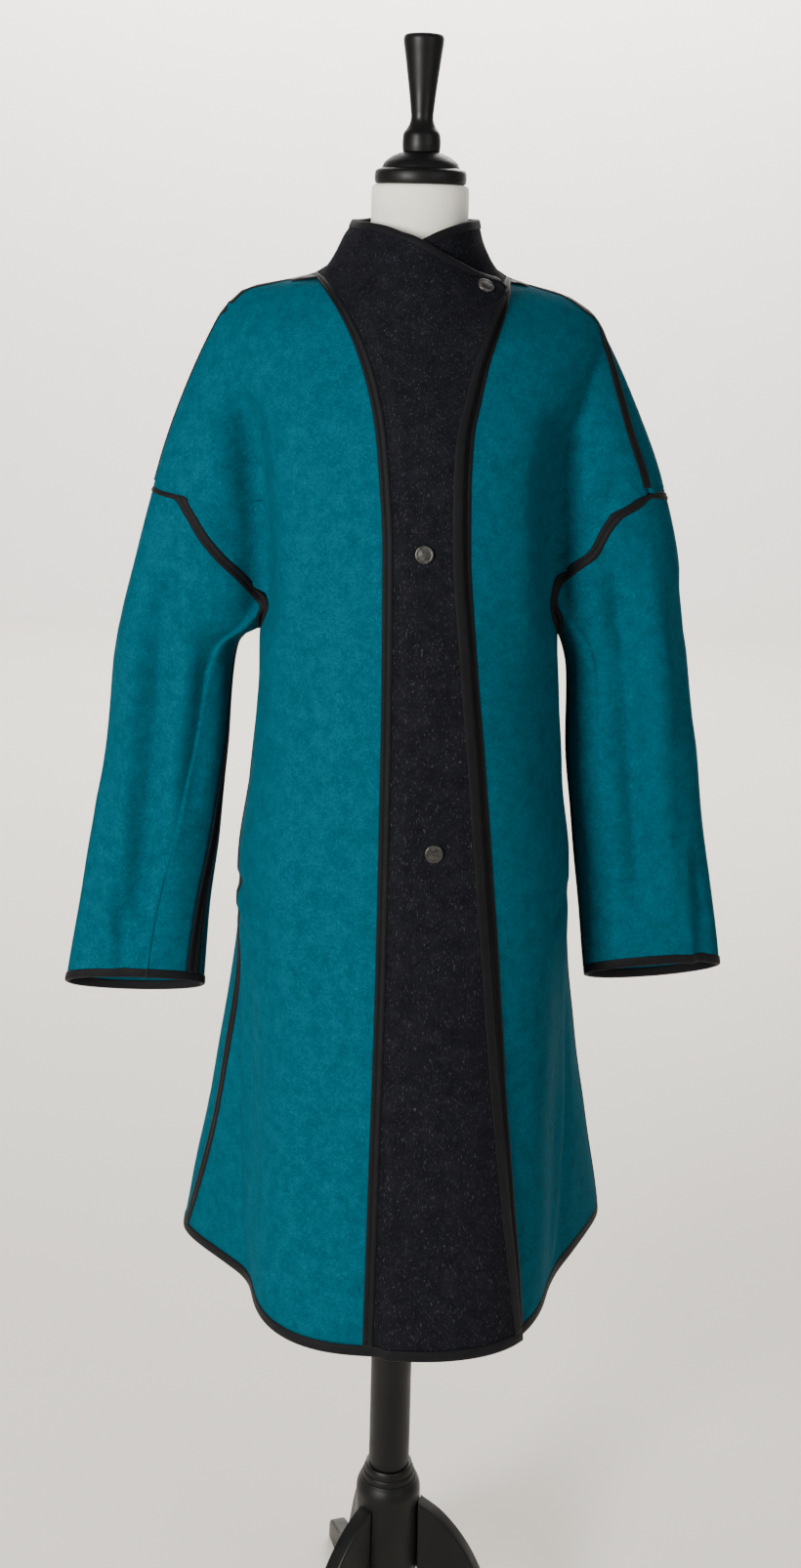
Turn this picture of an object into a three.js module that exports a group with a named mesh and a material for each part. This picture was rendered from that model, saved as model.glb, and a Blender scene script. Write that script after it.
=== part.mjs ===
// A wool coat on a limbless dress form with a tripod stand.
// Millimetres, +Z up, +X to the viewer's right, the coat's front faces -Y, the floor is at z = 0.
// The coat is one smooth shell, shell(turn, z). Every seam is a line on that shell, every panel is
// a grid between two seams, and every binding is made from the points of the panels it covers.
import * as THREE from "three";

// ---- Driving dimensions -------------------------------------------------------------------
const CLOTH = 2.4; // wall of the felted wool
const SEAM_GAP = 0.35; // between two pieces of the coat
const STRIP_GAP = 0.8; // at the end of a binding
const ARMHOLE_GAP = 0.85; // beside the sleeve seams, which twist
const TAPE = 1; // a binding stands this far proud of the cloth on both faces
const BINDING = 5; // a bound seam reaches this far to each side
const EDGE_BINDING = 10; // a bound edge reaches this far in
const UNDERLAP = 6.2; // the upper band is this far in front of the lower one
const HEM_Z = 485;
const UNDERARM_Z = 1166;
const NECK_Z = 1532; // neckline at the shoulder seam
const BACK_NECK_Z = 1545; // neckline at centre back
const BACK_COLLAR_Z = 1594; // collar top at centre back
const SIDE_COLLAR_Z = { left: 1589, right: 1592 }; // collar top where the back meets the fronts
const CUFF_Z = 780; // where a sleeve's fall to its slanted cuff is measured
const SNAP_RADIUS = 9;
const SNAP_HEIGHT = 2.2;
const POLE_RADIUS = 22;
const LEGS = 3;
const LEG_TURN = -13; // degrees from +X to the first leg
const LEG_WIDTH = 18;
const SEAT_GAP = 0.3; // between two parts of the form and its stand

// The coat's plan section at each height: half-width at the left and right, depth to the front and
// to the back, and the power of its curve, where 2 is an ellipse and 1 a diamond.
const BODY = [
  { z: 1600, left: 66, right: 61, front: 70, back: 60, power: 2.0 },
  { z: 1588, left: 68, right: 62, front: 74, back: 60, power: 2.0 },
  { z: 1573, left: 77, right: 65, front: 80, back: 62, power: 1.9 },
  { z: 1555, left: 86, right: 73, front: 86, back: 66, power: 1.7 },
  { z: 1540, left: 96, right: 83, front: 91, back: 72, power: 1.5 },
  { z: 1531, left: 110, right: 96, front: 94, back: 78, power: 1.35 },
  { z: 1521, left: 159, right: 135, front: 96, back: 84, power: 1.25 },
  { z: 1514, left: 181, right: 156, front: 98, back: 88, power: 1.25 },
  { z: 1494, left: 200, right: 183, front: 103, back: 98, power: 1.4 },
  { z: 1474, left: 205, right: 191, front: 108, back: 106, power: 1.65 },
  { z: 1440, left: 196, right: 182, front: 118, back: 116, power: 1.95 },
  { z: 1400, left: 178, right: 168, front: 131, back: 124, power: 2.2 },
  { z: 1340, left: 162, right: 157, front: 147, back: 130, power: 2.3 },
  { z: 1250, left: 157, right: 155, front: 159, back: 132, power: 2.3 },
  { z: 1166, left: 154, right: 154, front: 165, back: 130, power: 2.3 },
  { z: 1083, left: 158, right: 158, front: 165, back: 130, power: 2.3 },
  { z: 1000, left: 165, right: 164, front: 167, back: 134, power: 2.3 },
  { z: 925, left: 170, right: 170, front: 171, back: 140, power: 2.3 },
  { z: 850, left: 164, right: 166, front: 176, back: 146, power: 2.3 },
  { z: 760, left: 156, right: 162, front: 184, back: 154, power: 2.5 },
  { z: 640, left: 153, right: 160, front: 194, back: 164, power: 2.8 },
  { z: 485, left: 152, right: 160, front: 204, back: 178, power: 3.0 },
];

// The skirt's flare at each side seam: how far out, how far to the back, and its half-angle.
const FLARE = [
  { z: 1000, leftOut: 0, rightOut: 0, leftBack: 0, rightBack: 0, spread: 22 },
  { z: 925, leftOut: 4, rightOut: 4, leftBack: 3, rightBack: 6, spread: 18 },
  { z: 850, leftOut: 12, rightOut: 9, leftBack: 8, rightBack: 20, spread: 13 },
  { z: 760, leftOut: 30, rightOut: 22, leftBack: 16, rightBack: 40, spread: 10 },
  { z: 640, leftOut: 52, rightOut: 43, leftBack: 27, rightBack: 64, spread: 8 },
  { z: 485, leftOut: 80, rightOut: 69, leftBack: 42, rightBack: 92, spread: 7 },
];

// Each arm: its outer and inner edge, and its half-depth, at each height.
const ARM_LEFT = [
  { z: 1514, outer: 181, inner: 120, depth: 8 },
  { z: 1494, outer: 200, inner: 118, depth: 18 },
  { z: 1474, outer: 211, inner: 118, depth: 28 },
  { z: 1434, outer: 229, inner: 118, depth: 42 },
  { z: 1393, outer: 244, inner: 120, depth: 50 },
  { z: 1332, outer: 264, inner: 120, depth: 55 },
  { z: 1250, outer: 285, inner: 120, depth: 57 },
  { z: 1205, outer: 295, inner: 125, depth: 57 },
  { z: 1182, outer: 300, inner: 140, depth: 56 },
  { z: 1166, outer: 303, inner: 154, depth: 56 },
  { z: 1157, outer: 305, inner: 170, depth: 56 },
  { z: 1145, outer: 307, inner: 179, depth: 55 },
  { z: 1120, outer: 311, inner: 183, depth: 52 },
  { z: 1041, outer: 317, inner: 187, depth: 46 },
  { z: 957, outer: 329, inner: 194, depth: 42 },
  { z: 850, outer: 346, inner: 205, depth: 36 },
  { z: 740, outer: 363, inner: 212, depth: 30 },
];
const ARM_RIGHT = [
  { z: 1514, outer: 156, inner: 110, depth: 6 },
  { z: 1494, outer: 183, inner: 112, depth: 15 },
  { z: 1474, outer: 195, inner: 114, depth: 25 },
  { z: 1434, outer: 216, inner: 115, depth: 40 },
  { z: 1393, outer: 234, inner: 118, depth: 48 },
  { z: 1332, outer: 257, inner: 118, depth: 54 },
  { z: 1250, outer: 277, inner: 118, depth: 57 },
  { z: 1205, outer: 284, inner: 125, depth: 57 },
  { z: 1182, outer: 287, inner: 140, depth: 56 },
  { z: 1166, outer: 289, inner: 154, depth: 56 },
  { z: 1150, outer: 292, inner: 161, depth: 54 },
  { z: 1125, outer: 295, inner: 166, depth: 51 },
  { z: 1041, outer: 305, inner: 169, depth: 45 },
  { z: 957, outer: 316, inner: 177, depth: 42 },
  { z: 850, outer: 333, inner: 190, depth: 37 },
  { z: 740, outer: 346, inner: 202, depth: 31 },
];

// Front edges at each height: the two band seams and the upper band's free edge.
const FRONT_LINES = [
  { z: 1531, rightBand: -104, freeEdge: 90, leftBand: 92 },
  { z: 1521, rightBand: -92, freeEdge: 86, leftBand: 90 },
  { z: 1500, rightBand: -76, freeEdge: 80, leftBand: 84 },
  { z: 1476, rightBand: -62, freeEdge: 71, leftBand: 75 },
  { z: 1448, rightBand: -50, freeEdge: 62, leftBand: 66 },
  { z: 1416, rightBand: -40, freeEdge: 55, leftBand: 59 },
  { z: 1380, rightBand: -33, freeEdge: 48, leftBand: 52 },
  { z: 1333, rightBand: -28, freeEdge: 46, leftBand: 50 },
  { z: 1277, rightBand: -24, freeEdge: 47, leftBand: 51 },
  { z: 1165, rightBand: -22, freeEdge: 56, leftBand: 60 },
  { z: 1034, rightBand: -21, freeEdge: 69, leftBand: 74 },
  { z: 865, rightBand: -21, freeEdge: 84, leftBand: 90 },
  { z: 675, rightBand: -23, freeEdge: 102, leftBand: 107 },
  { z: 485, rightBand: -25, freeEdge: 124, leftBand: 127 },
];

// The upper band's free edge over the collar, from the wearer's right side of the neck to its corner.
const OVERLAP_TOP = [
  { x: -60, z: 1588 },
  { x: -29, z: 1582 },
  { x: 5, z: 1567 },
  { x: 29, z: 1552 },
  { x: 54, z: 1539 },
  { x: 74, z: 1530 },
  { x: 86, z: 1521 },
];
// The lower band's free edge over the collar; it goes on below under the upper band.
const UNDERLAP_TOP = [
  { x: 50, z: 1590 },
  { x: 26, z: 1582 },
  { x: 5, z: 1572 },
  { x: -18, z: 1558 },
  { x: -34, z: 1541 },
  { x: -42, z: 1521 },
  { x: -38, z: 1500 },
];
const UNDERLAP_INSET = 38; // from the upper band's seam to the lower band's free edge

// Sleeve seams, from the top of the arm to the underarm, by plan position and height.
const SLEEVE_SEAM_LEFT = [
  { x: -243, z: 1306 },
  { x: -229, z: 1290 },
  { x: -212, z: 1264 },
  { x: -193, z: 1242 },
  { x: -175, z: 1225 },
  { x: -159, z: 1206 },
  { x: -152, z: 1188 },
  { x: -153, z: 1175 },
];
const SLEEVE_SEAM_RIGHT = [
  { x: 229, z: 1308 },
  { x: 212, z: 1299 },
  { x: 198, z: 1283 },
  { x: 184, z: 1257 },
  { x: 166, z: 1241 },
  { x: 154, z: 1226 },
  { x: 151, z: 1190 },
  { x: 153, z: 1176 },
];
const SLEEVE_SEAM_RIGHT_BACK = [
  { x: 260, z: 1307 },
  { x: 243, z: 1300 },
  { x: 222, z: 1289 },
  { x: 200, z: 1268 },
  { x: 180, z: 1247 },
  { x: 160, z: 1226 },
  { x: 151, z: 1195 },
  { x: 153, z: 1176 },
];

// ---- Small helpers --------------------------------------------------------------------------
const RADIANS = Math.PI / 180;
const lerp = (a, b, t) => a + (b - a) * t;
const clamp = (t) => Math.min(Math.max(t, 0), 1);
const smooth = (t) => clamp(t) ** 2 * (3 - 2 * clamp(t));
const vec = (x, y, z) => new THREE.Vector3(x, y, z);
const between = (a, b, t) => a.clone().lerp(b, t);
const last = (list) => list[list.length - 1];

// Reads every column of a table at one height, by a monotone cubic between its rows.
function read(table, z) {
  const rows = table.length;
  let i = 0;
  while (i < rows - 2 && z < table[i + 1].z) i += 1;
  const [high, low] = [table[i], table[i + 1]];
  const step = low.z - high.z;
  const t = clamp((z - high.z) / step);
  const result = {};
  for (const name of Object.keys(high)) {
    if (name === "z") continue;
    const rise = (a, b) => (b[name] - a[name]) / (b.z - a.z);
    const here = rise(high, low);
    const tilt = (other) => (here * other > 0 ? (2 * here * other) / (here + other) : 0);
    const first = i > 0 ? tilt(rise(table[i - 1], high)) : here;
    const second = i < rows - 2 ? tilt(rise(low, table[i + 2])) : here;
    result[name] =
      high[name] * (1 + 2 * t) * (1 - t) ** 2 +
      low[name] * t * t * (3 - 2 * t) +
      step * (first * t * (1 - t) ** 2 - second * t * t * (1 - t));
  }
  return result;
}

// ---- The shell ------------------------------------------------------------------------------
// turn is the angle round the coat in degrees: 0 the front, 90 the right, 180 the back, 270 the left.
const lobe = (t, power) => Math.max(1 - t ** power, 0) ** (1 / power);
const armTable = (side) => (side === "left" ? ARM_LEFT : ARM_RIGHT);
const hasArm = (side, z) => z > UNDERARM_Z && z < armTable(side)[0].z;

function reachAt(side, z) {
  return hasArm(side, z) ? read(armTable(side), z).outer : read(BODY, z)[side];
}

function shell(turn, z) {
  const sine = Math.sin(turn * RADIANS);
  const side = sine < 0 ? "left" : "right";
  const back = Math.cos(turn * RADIANS) < 0;
  const sideways = Math.abs(sine);
  const body = read(BODY, z);
  const arm = read(armTable(side), z);
  const reach = hasArm(side, z) ? arm.outer : body[side];
  let x = reach * sideways;
  const chest = (back ? body.back : body.front) * lobe(Math.min(x / body[side], 1), body.power);
  const middle = (arm.outer + arm.inner) / 2;
  const half = (arm.outer - arm.inner) / 2;
  const upperArm = hasArm(side, z) ? arm.depth * lobe(Math.min(Math.abs(x - middle) / half, 1), 2) : 0;
  let y = Math.cbrt(chest ** 3 + upperArm ** 3) * (back ? 1 : -1);
  if (z < FLARE[0].z) {
    const flare = read(FLARE, z);
    const near = Math.exp(-((Math.acos(Math.min(sideways, 1)) / RADIANS / flare.spread) ** 2));
    x += flare[side + "Out"] * near;
    y += flare[side + "Back"] * near;
  }
  return vec(side === "left" ? -x : x, y, z);
}

// The turn at which the shell's front or back crosses a given x.
function turnAt(x, z, back = false) {
  const side = x < 0 ? "left" : "right";
  const angle = Math.asin(clamp(Math.abs(x) / reachAt(side, z))) / RADIANS;
  const turned = back ? 180 - angle : angle;
  return side === "left" ? -turned : turned;
}

// ---- Grids and walls ------------------------------------------------------------------------
// A spot is a point of the cloth's outer face with the direction out of the cloth there. One that is
// drawn back from another keeps the first point as its base.
const spot = (p, n, base = p) => ({ p, n, base });

// Even points along a path, its ends trimmed; the untrimmed ends come along as head and tail.
function evenly(path, count, trimHead, trimTail) {
  const lengths = [0];
  for (let k = 1; k < path.length; k += 1) {
    lengths.push(lengths[k - 1] + path[k].distanceTo(path[k - 1]));
  }
  const points = [];
  for (let j = 0; j <= count; j += 1) {
    const target = lerp(trimHead, last(lengths) - trimTail, j / count);
    let k = 1;
    while (k < path.length - 1 && lengths[k] < target) k += 1;
    points.push(between(path[k - 1], path[k], (target - lengths[k - 1]) / (lengths[k] - lengths[k - 1])));
  }
  points.head = path[0];
  points.tail = last(path);
  return points;
}

const PATH_STEPS = 90;
function pathBetween(from, to, surface = shell) {
  const path = [];
  for (let k = 0; k <= PATH_STEPS; k += 1) {
    const t = k / PATH_STEPS;
    path.push(surface(lerp(from.turn, to.turn, t), lerp(from.z, to.z, t)));
  }
  return path;
}

const EVENING_PASSES = 1;

// Spots for a grid of points, facing away from a centre that outsideOf gives for a point.
function spots(rows, outsideOf) {
  let vote = 0;
  let normals = rows.map((row, i) =>
    row.map((p, j) => {
      const across = row[Math.min(j + 1, row.length - 1)].clone().sub(row[Math.max(j - 1, 0)]);
      const along = rows[Math.min(i + 1, rows.length - 1)][j].clone().sub(rows[Math.max(i - 1, 0)][j]);
      const n = across.cross(along).normalize();
      vote += n.dot(p.clone().sub(outsideOf(p)));
      return n;
    }),
  );
  // Each direction is evened out with those of the rows beside it.
  for (let pass = 0; pass < EVENING_PASSES; pass += 1) {
    normals = normals.map((row, i) => {
      const above = normals[Math.max(i - 1, 0)];
      const below = normals[Math.min(i + 1, rows.length - 1)];
      return row.map((n, j) => n.clone().multiplyScalar(2).add(above[j]).add(below[j]).normalize());
    });
  }
  const sign = Math.sign(vote);
  return rows.map((row, i) => row.map((p, j) => spot(p, normals[i][j].multiplyScalar(sign))));
}

// A closed solid between an outer and an inner grid; the grid may close on itself along its rows.
function wall(grid, up, down, closed = false) {
  const rows = grid.length;
  const columns = grid[0].length;
  const positions = [];
  for (const offset of [up, -down]) {
    for (const row of grid) {
      for (const s of row) positions.push(...s.p.clone().addScaledVector(s.n, offset).toArray());
    }
  }
  const at = (i, j, inner) => (inner * rows + (i % rows)) * columns + j;
  const size = rows * columns;
  const faces = [];
  const apart = (a, b) => Math.hypot(...[0, 1, 2].map((k) => positions[3 * a + k] - positions[3 * b + k]));
  const quad = (a, b, c, d) => {
    if (apart(b, d) < apart(a, c)) faces.push(a, b, d, b, c, d);
    else faces.push(a, b, c, a, c, d);
  };
  // A long side of the wall. Two walls that share its bases split it by the same diagonals.
  const rim = (i, j, ahead) => {
    const [here, next] = [grid[i][j], grid[(i + 1) % rows][j]];
    const leaning = next.base.clone().sub(here.base).dot(here.n.clone().add(next.n)) > 0;
    const corners = [at(i, j, 0), at(i + 1, j, 0), at(i + 1, j, 1), at(i, j, 1)];
    if (!leaning) corners.push(corners.shift());
    const [a, b, c, d] = corners;
    if (ahead) faces.push(a, b, c, a, c, d);
    else faces.push(a, c, b, a, d, c);
  };
  const bands = closed ? rows : rows - 1;
  for (let i = 0; i < bands; i += 1) {
    for (let j = 0; j < columns - 1; j += 1) {
      let cell = [at(i, j, 0), at(i + 1, j, 0), at(i + 1, j + 1, 0), at(i, j + 1, 0)];
      if (apart(cell[1], cell[3]) < apart(cell[0], cell[2])) cell = [...cell.slice(1), cell[0]];
      const [a, b, c, d] = cell;
      faces.push(a, b, c, a, c, d);
      faces.push(a + size, c + size, b + size, a + size, d + size, c + size);
    }
    rim(i, 0, false);
    rim(i, columns - 1, true);
  }
  if (!closed) {
    const i = rows - 1;
    for (let j = 0; j < columns - 1; j += 1) {
      quad(at(0, j, 0), at(0, j + 1, 0), at(0, j + 1, 1), at(0, j, 1));
      quad(at(i, j, 0), at(i, j, 1), at(i, j + 1, 1), at(i, j + 1, 0));
    }
  }
  return solid(positions, faces);
}

// An indexed geometry whose faces point out.
function solid(positions, faces) {
  const [a, b, c] = [vec(0, 0, 0), vec(0, 0, 0), vec(0, 0, 0)];
  let volume = 0;
  for (let f = 0; f < faces.length; f += 3) {
    a.fromArray(positions, 3 * faces[f]);
    b.fromArray(positions, 3 * faces[f + 1]);
    c.fromArray(positions, 3 * faces[f + 2]);
    volume += a.dot(b.cross(c));
  }
  const turned = volume < 0 ? faces.toReversed() : faces;
  const geometry = new THREE.BufferGeometry();
  geometry.setAttribute("position", new THREE.Float32BufferAttribute(positions, 3));
  geometry.setIndex(turned);
  geometry.computeVertexNormals();
  return geometry;
}

// ---- Seam lines -----------------------------------------------------------------------------
// How a row runs: from this height on the outer seam to the band seam and to centre back.
const ROW_RUN = [
  { z: 1529, band: 1530, back: 1540 },
  { z: 1526, band: 1521, back: 1531 },
  { z: 1519, band: 1503, back: 1519 },
  { z: 1505, band: 1480, back: 1503 },
  { z: 1484, band: 1460, back: 1484 },
  { z: 1454, band: 1436, back: 1456 },
  { z: 1415, band: 1405, back: 1419 },
  { z: 1376, band: 1372, back: 1382 },
  { z: 1342, band: 1346, back: 1351 },
  { z: 1316, band: 1325, back: 1330 },
  { z: 1305, band: 1306, back: 1311 },
  { z: 1285, band: 1285, back: 1287 },
  { z: 1250, band: 1250, back: 1250 },
  { z: 1166, band: 1166, back: 1166 },
];
// The shoulder and overarm seams: on the fold at the left, turned to the front at the right.
const OVERARM = [
  { z: 1531, left: 270, right: 90 },
  { z: 1500, left: 270, right: 88 },
  { z: 1462, left: 270, right: 76 },
  { z: 1415, left: 270, right: 69 },
  { z: 1367, left: 270, right: 66.5 },
  { z: 1309, left: 270, right: 67 },
];
// The side seams: at the left the seam turns to the front below the hip.
const SIDE_SEAM = [
  { z: 1166, left: 270, right: 90 },
  { z: 1000, left: 270.5, right: 90 },
  { z: 900, left: 275, right: 90 },
  { z: 760, left: 275.5, right: 90 },
  { z: 640, left: 274, right: 90 },
  { z: 485, left: 271.5, right: 90 },
];
const OVERARM_ROWS = [1528.5, 1525.5, 1519, 1505, 1484, 1454, 1415, 1376, 1342];
const SIDE_ROWS = [1128, 1083, 1030, 975, 925, 875, 820, 760, 690, 610, 545];
const FRONT_COLUMNS = 9;
const BACK_HALF = 9;
const BAND_COLUMNS = { left: 6, right: 4 };
const SLEEVE_ROWS = 12;
const MARGIN = BINDING + SEAM_GAP / 2;
const EDGE_MARGIN = EDGE_BINDING + SEAM_GAP / 2;
const MAX_TRIM = 11;
const HEM_ROW_Z = HEM_Z + EDGE_MARGIN;
const CENTRE_BACK_GAP = 0.14; // degrees from centre back to each half of the collar

const SIDES = {
  left: {
    sign: -1,
    seam: { front: SLEEVE_SEAM_LEFT, back: SLEEVE_SEAM_LEFT },
    top: { turn: 270, z: 1309 },
    twist: 40,
    cuff: (x, y) => 771 - 0.6 * y,
  },
  right: {
    sign: 1,
    seam: { front: SLEEVE_SEAM_RIGHT, back: SLEEVE_SEAM_RIGHT_BACK },
    top: { turn: 67, z: 1318 },
    twist: 0,
    cuff: (x, y) => 799 + 0.1 * (x - 270) - 0.6 * y,
  },
};

const shellPoint = (station) => shell(station.turn, station.z);
const underarm = (side) => vec(SIDES[side].sign * read(BODY, UNDERARM_Z)[side], 0, UNDERARM_Z);

// A panel's outer stations on one side, from the neck down: overarm, sleeve seam, side seam.
function outerStations(side, face) {
  const { seam, top } = SIDES[side];
  const upper = [...OVERARM_ROWS, top.z + MARGIN].map((z) => ({
    turn: z > OVERARM[0].z ? OVERARM[0][side] : read(OVERARM, z)[side],
    z,
  }));
  const sleeve = seam[face].map(({ x, z }) => ({
    turn: (turnAt(x, z, face === "back") + 360) % 360,
    z,
    sleeve: true,
  }));
  const lower = [UNDERARM_Z - MARGIN, ...SIDE_ROWS, HEM_ROW_Z].map((z) => ({
    turn: read(SIDE_SEAM, z)[side],
    z,
  }));
  const stations = [...upper, ...sleeve, ...lower];
  const points = stations.map(shellPoint);
  stations.forEach((station, i) => {
    station.along = points[Math.min(i + 1, points.length - 1)].clone().sub(points[Math.max(i - 1, 0)]);
    station.along.normalize();
  });
  return stations;
}

// How far a row is cut back from a seam that it meets at a slant.
function trimFor(rowEnd, rowInner, along, margin = MARGIN) {
  const direction = rowEnd.clone().sub(rowInner).normalize();
  const slant = Math.sqrt(Math.max(1 - direction.dot(along) ** 2, 0.01));
  return Math.min(margin / slant, MAX_TRIM);
}

const runAt = (z) => (z < UNDERARM_Z ? { band: z, back: z } : read(ROW_RUN, Math.min(z, ROW_RUN[0].z)));
const bandColumn = { left: "rightBand", right: "leftBand" };

// The band seam of the front on one side of the viewer, as turn and z at a height.
function bandStation(side, z) {
  const turn = turnAt(read(FRONT_LINES, z)[bandColumn[side]], z);
  return { turn, z };
}

const AXIS = (p) => vec(0, 0, p.z);

function frontGrid(side) {
  const stations = outerStations(side, "front");
  const heads = stations.map(({ z }) => bandStation(side, runAt(z).band));
  const rows = stations.map((station, i) => {
    const turn = side === "left" ? station.turn - 360 : station.turn;
    const path = pathBetween(heads[i], { turn, z: station.z });
    const tail = trimFor(last(path), path[path.length - 4], station.along);
    return evenly(path, FRONT_COLUMNS, MARGIN, tail);
  });
  return { stations, heads, rows, grid: spots(rows, AXIS) };
}

function backGrid() {
  const left = outerStations("left", "back");
  const right = outerStations("right", "back");
  const rows = left.map((from, i) => {
    const to = right[i];
    const middle = (runAt(from.z).back + runAt(to.z).back) / 2;
    const half = (station) => {
      const path = [];
      for (let k = 0; k <= PATH_STEPS; k += 1) {
        const t = k / PATH_STEPS;
        const z = lerp(station.z, middle, Math.sin(t * 90 * RADIANS));
        path.push(shell(lerp(station.turn, 180, t), z));
      }
      return path;
    };
    const [leftPath, rightPath] = [half(from), half(to)];
    const leftTrim = trimFor(leftPath[0], leftPath[3], from.along);
    const rightTrim = trimFor(rightPath[0], rightPath[3], to.along);
    const leftRow = evenly(leftPath, BACK_HALF, leftTrim, 0);
    const rightRow = evenly(rightPath, BACK_HALF, rightTrim, 0);
    return [...leftRow, ...rightRow.slice(0, -1).toReversed()];
  });
  return { left, right, rows, grid: spots(rows, AXIS) };
}

// ---- Bindings -------------------------------------------------------------------------------
// Moves a spot towards a point by the gap between two pieces.
function toward(s, target, distance) {
  return spot(s.p.clone().add(target.clone().sub(s.p).setLength(distance)), s.n, s.base);
}

// The middle of a seam: its own point, facing the mean of the two cloths beside it. Where those two
// face opposite ways, it faces away from them instead.
const MIN_FACING = 0.3;
function seamSpot(p, a, b) {
  const n = a.n.clone().add(b.n);
  const facing = n.length() < MIN_FACING;
  if (facing) n.copy(a.p).add(b.p).multiplyScalar(0.5).sub(p);
  return spot(p, n.normalize());
}

// Draws both ends of a strip in by the gap between two pieces.
function trimEnds(grid) {
  const drawIn = (row, next) => row.map((s, j) => toward(s, next[j].p, STRIP_GAP));
  return [drawIn(grid[0], grid[1]), ...grid.slice(1, -1), drawIn(last(grid), grid[grid.length - 2])];
}

// A bound seam: stations of the first cloth's edge, the seam and the second cloth's edge.
function seamBinding(stations, closed = false) {
  const gap = closed ? ARMHOLE_GAP : SEAM_GAP;
  const grid = stations.map(([a, p, b]) => [toward(a, p, gap), seamSpot(p, a, b), toward(b, p, gap)]);
  return wall(closed ? grid : trimEnds(grid), TAPE, CLOTH + TAPE, closed);
}

// A bound edge: stations of the cloth's end and the finished edge beyond it.
function edgeBinding(stations, closed = false) {
  const grid = stations.map(([a, p]) => [toward(a, p, SEAM_GAP), spot(p, a.n)]);
  return wall(closed ? grid : trimEnds(grid), TAPE, CLOTH + TAPE, closed);
}

// ---- Bands and collar -----------------------------------------------------------------------
// The lower band's free edge, and how far the upper band stands off the shell to clear it.
function underlapEdge(z) {
  const base = last(UNDERLAP_TOP).z;
  return z > base ? read(UNDERLAP_TOP, z).x : read(FRONT_LINES, z).rightBand + UNDERLAP_INSET;
}

const LIFT_START = 30; // before the lower band's free edge
const LIFT_RUN = 12;
function lifted(turn, z) {
  const p = shell(turn, z);
  if (p.y > 0) return p;
  const across = shell(turn + 1, z).sub(shell(turn - 1, z));
  const out = across.cross(shell(turn, z + 2).sub(shell(turn, z - 2))).normalize();
  const rise = smooth((p.x - underlapEdge(z) + LIFT_START) / LIFT_RUN);
  return p.addScaledVector(out, UNDERLAP * rise);
}

// Where the free edges of the two bands lie on the rows below the collar's corner.
const BAND_EDGE_ROWS = [1485, 1443, 1405, 1365, 1330];

const SHOULDER_STEP = 0.6; // of a back column, left between the last of them and the shoulder seam
const SHOULDER_STOP = { along: 0.45, drop: 0.3 }; // on the way from the shoulder seam to the band's corner

// The rows of a band from centre back round the neck and down the front. Each row goes from the
// seam to the free edge.
function bandGrid(side, front) {
  const upper = side === "left";
  const turnBase = upper ? 360 : 0;
  const surface = upper ? lifted : shell;
  const backTurn = upper ? 270 : 90;
  const starts = [];
  const ends = [];
  for (let k = 0; k <= BACK_HALF; k += 1) {
    const t = k / (BACK_HALF + SHOULDER_STEP);
    const from = 180 + (upper ? 1 : -1) * CENTRE_BACK_GAP;
    const turn = lerp(from, backTurn, t);
    starts.push({ turn, z: neckline(turn) });
    ends.push({ turn, z: lerp(BACK_COLLAR_Z, SIDE_COLLAR_Z[side], smooth(t)) });
  }
  starts.push({ turn: backTurn, z: NECK_Z });
  const corner = front.heads[0];
  starts.push({
    turn: lerp(backTurn, corner.turn + turnBase, SHOULDER_STOP.along),
    z: lerp(NECK_Z, corner.z, SHOULDER_STOP.drop),
  });
  for (const head of front.heads) starts.push({ turn: head.turn + turnBase, z: head.z });
  const top = upper ? OVERLAP_TOP : UNDERLAP_TOP;
  ends.push(...top.map(({ x, z }) => ({ turn: turnAt(x, z) + turnBase, z })));
  const edgeAt = (z) => (upper ? read(FRONT_LINES, z).freeEdge : underlapEdge(z));
  const below = starts.slice(ends.length).map(({ z }, i) => BAND_EDGE_ROWS[i] ?? z);
  ends.push(...below.map((z) => ({ turn: turnAt(edgeAt(z), z) + turnBase, z })));
  const rows = starts.map((start, i) => {
    const path = pathBetween(start, ends[i], surface);
    return evenly(path, BAND_COLUMNS[side], MARGIN, EDGE_MARGIN);
  });
  const grid = spots(rows, AXIS);
  for (const s of grid[0]) s.n.setX(0).normalize();
  return { rows, grid };
}

// The back neckline: a binding's half-width above the top row of the back.
function neckline(turn) {
  const t = Math.abs(Math.cos(turn * RADIANS));
  return lerp(NECK_Z, BACK_NECK_Z, Math.sqrt(t));
}

// ---- Sleeves --------------------------------------------------------------------------------
function tube(side, angle, z) {
  const arm = read(armTable(side), z);
  const middle = (arm.outer + arm.inner) / 2;
  const half = (arm.outer - arm.inner) / 2;
  const x = middle + half * Math.cos(angle * RADIANS);
  return vec(SIDES[side].sign * x, arm.depth * Math.sin(angle * RADIANS), z);
}

// The sleeve seam as a loop from the front of the underarm over the arm to its back: each stop has
// its point and the spot of the body's edge beside it.
function sleeveLoop(side, frontStations, backStations, bodyEdge) {
  const pit = underarm(side);
  const top = SIDES[side].top;
  const near = (from, to) => from.clone().add(to.clone().sub(from).setLength(MARGIN));
  const half = (stations, edges) => {
    const seam = stations.filter((s) => s.sleeve);
    const start = near(shellPoint(top), shellPoint(seam[0]));
    const stops = [{ p: start, edge: edges[0] }];
    seam.forEach((s, i) => stops.push({ p: shellPoint(s), edge: edges[i + 1] }));
    return [...stops, { p: near(pit, last(stops).p), edge: last(edges) }];
  };
  const [frontEdge, backEdge] = bodyEdge;
  return [...half(frontStations, frontEdge).toReversed(), ...half(backStations, backEdge)];
}

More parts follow.
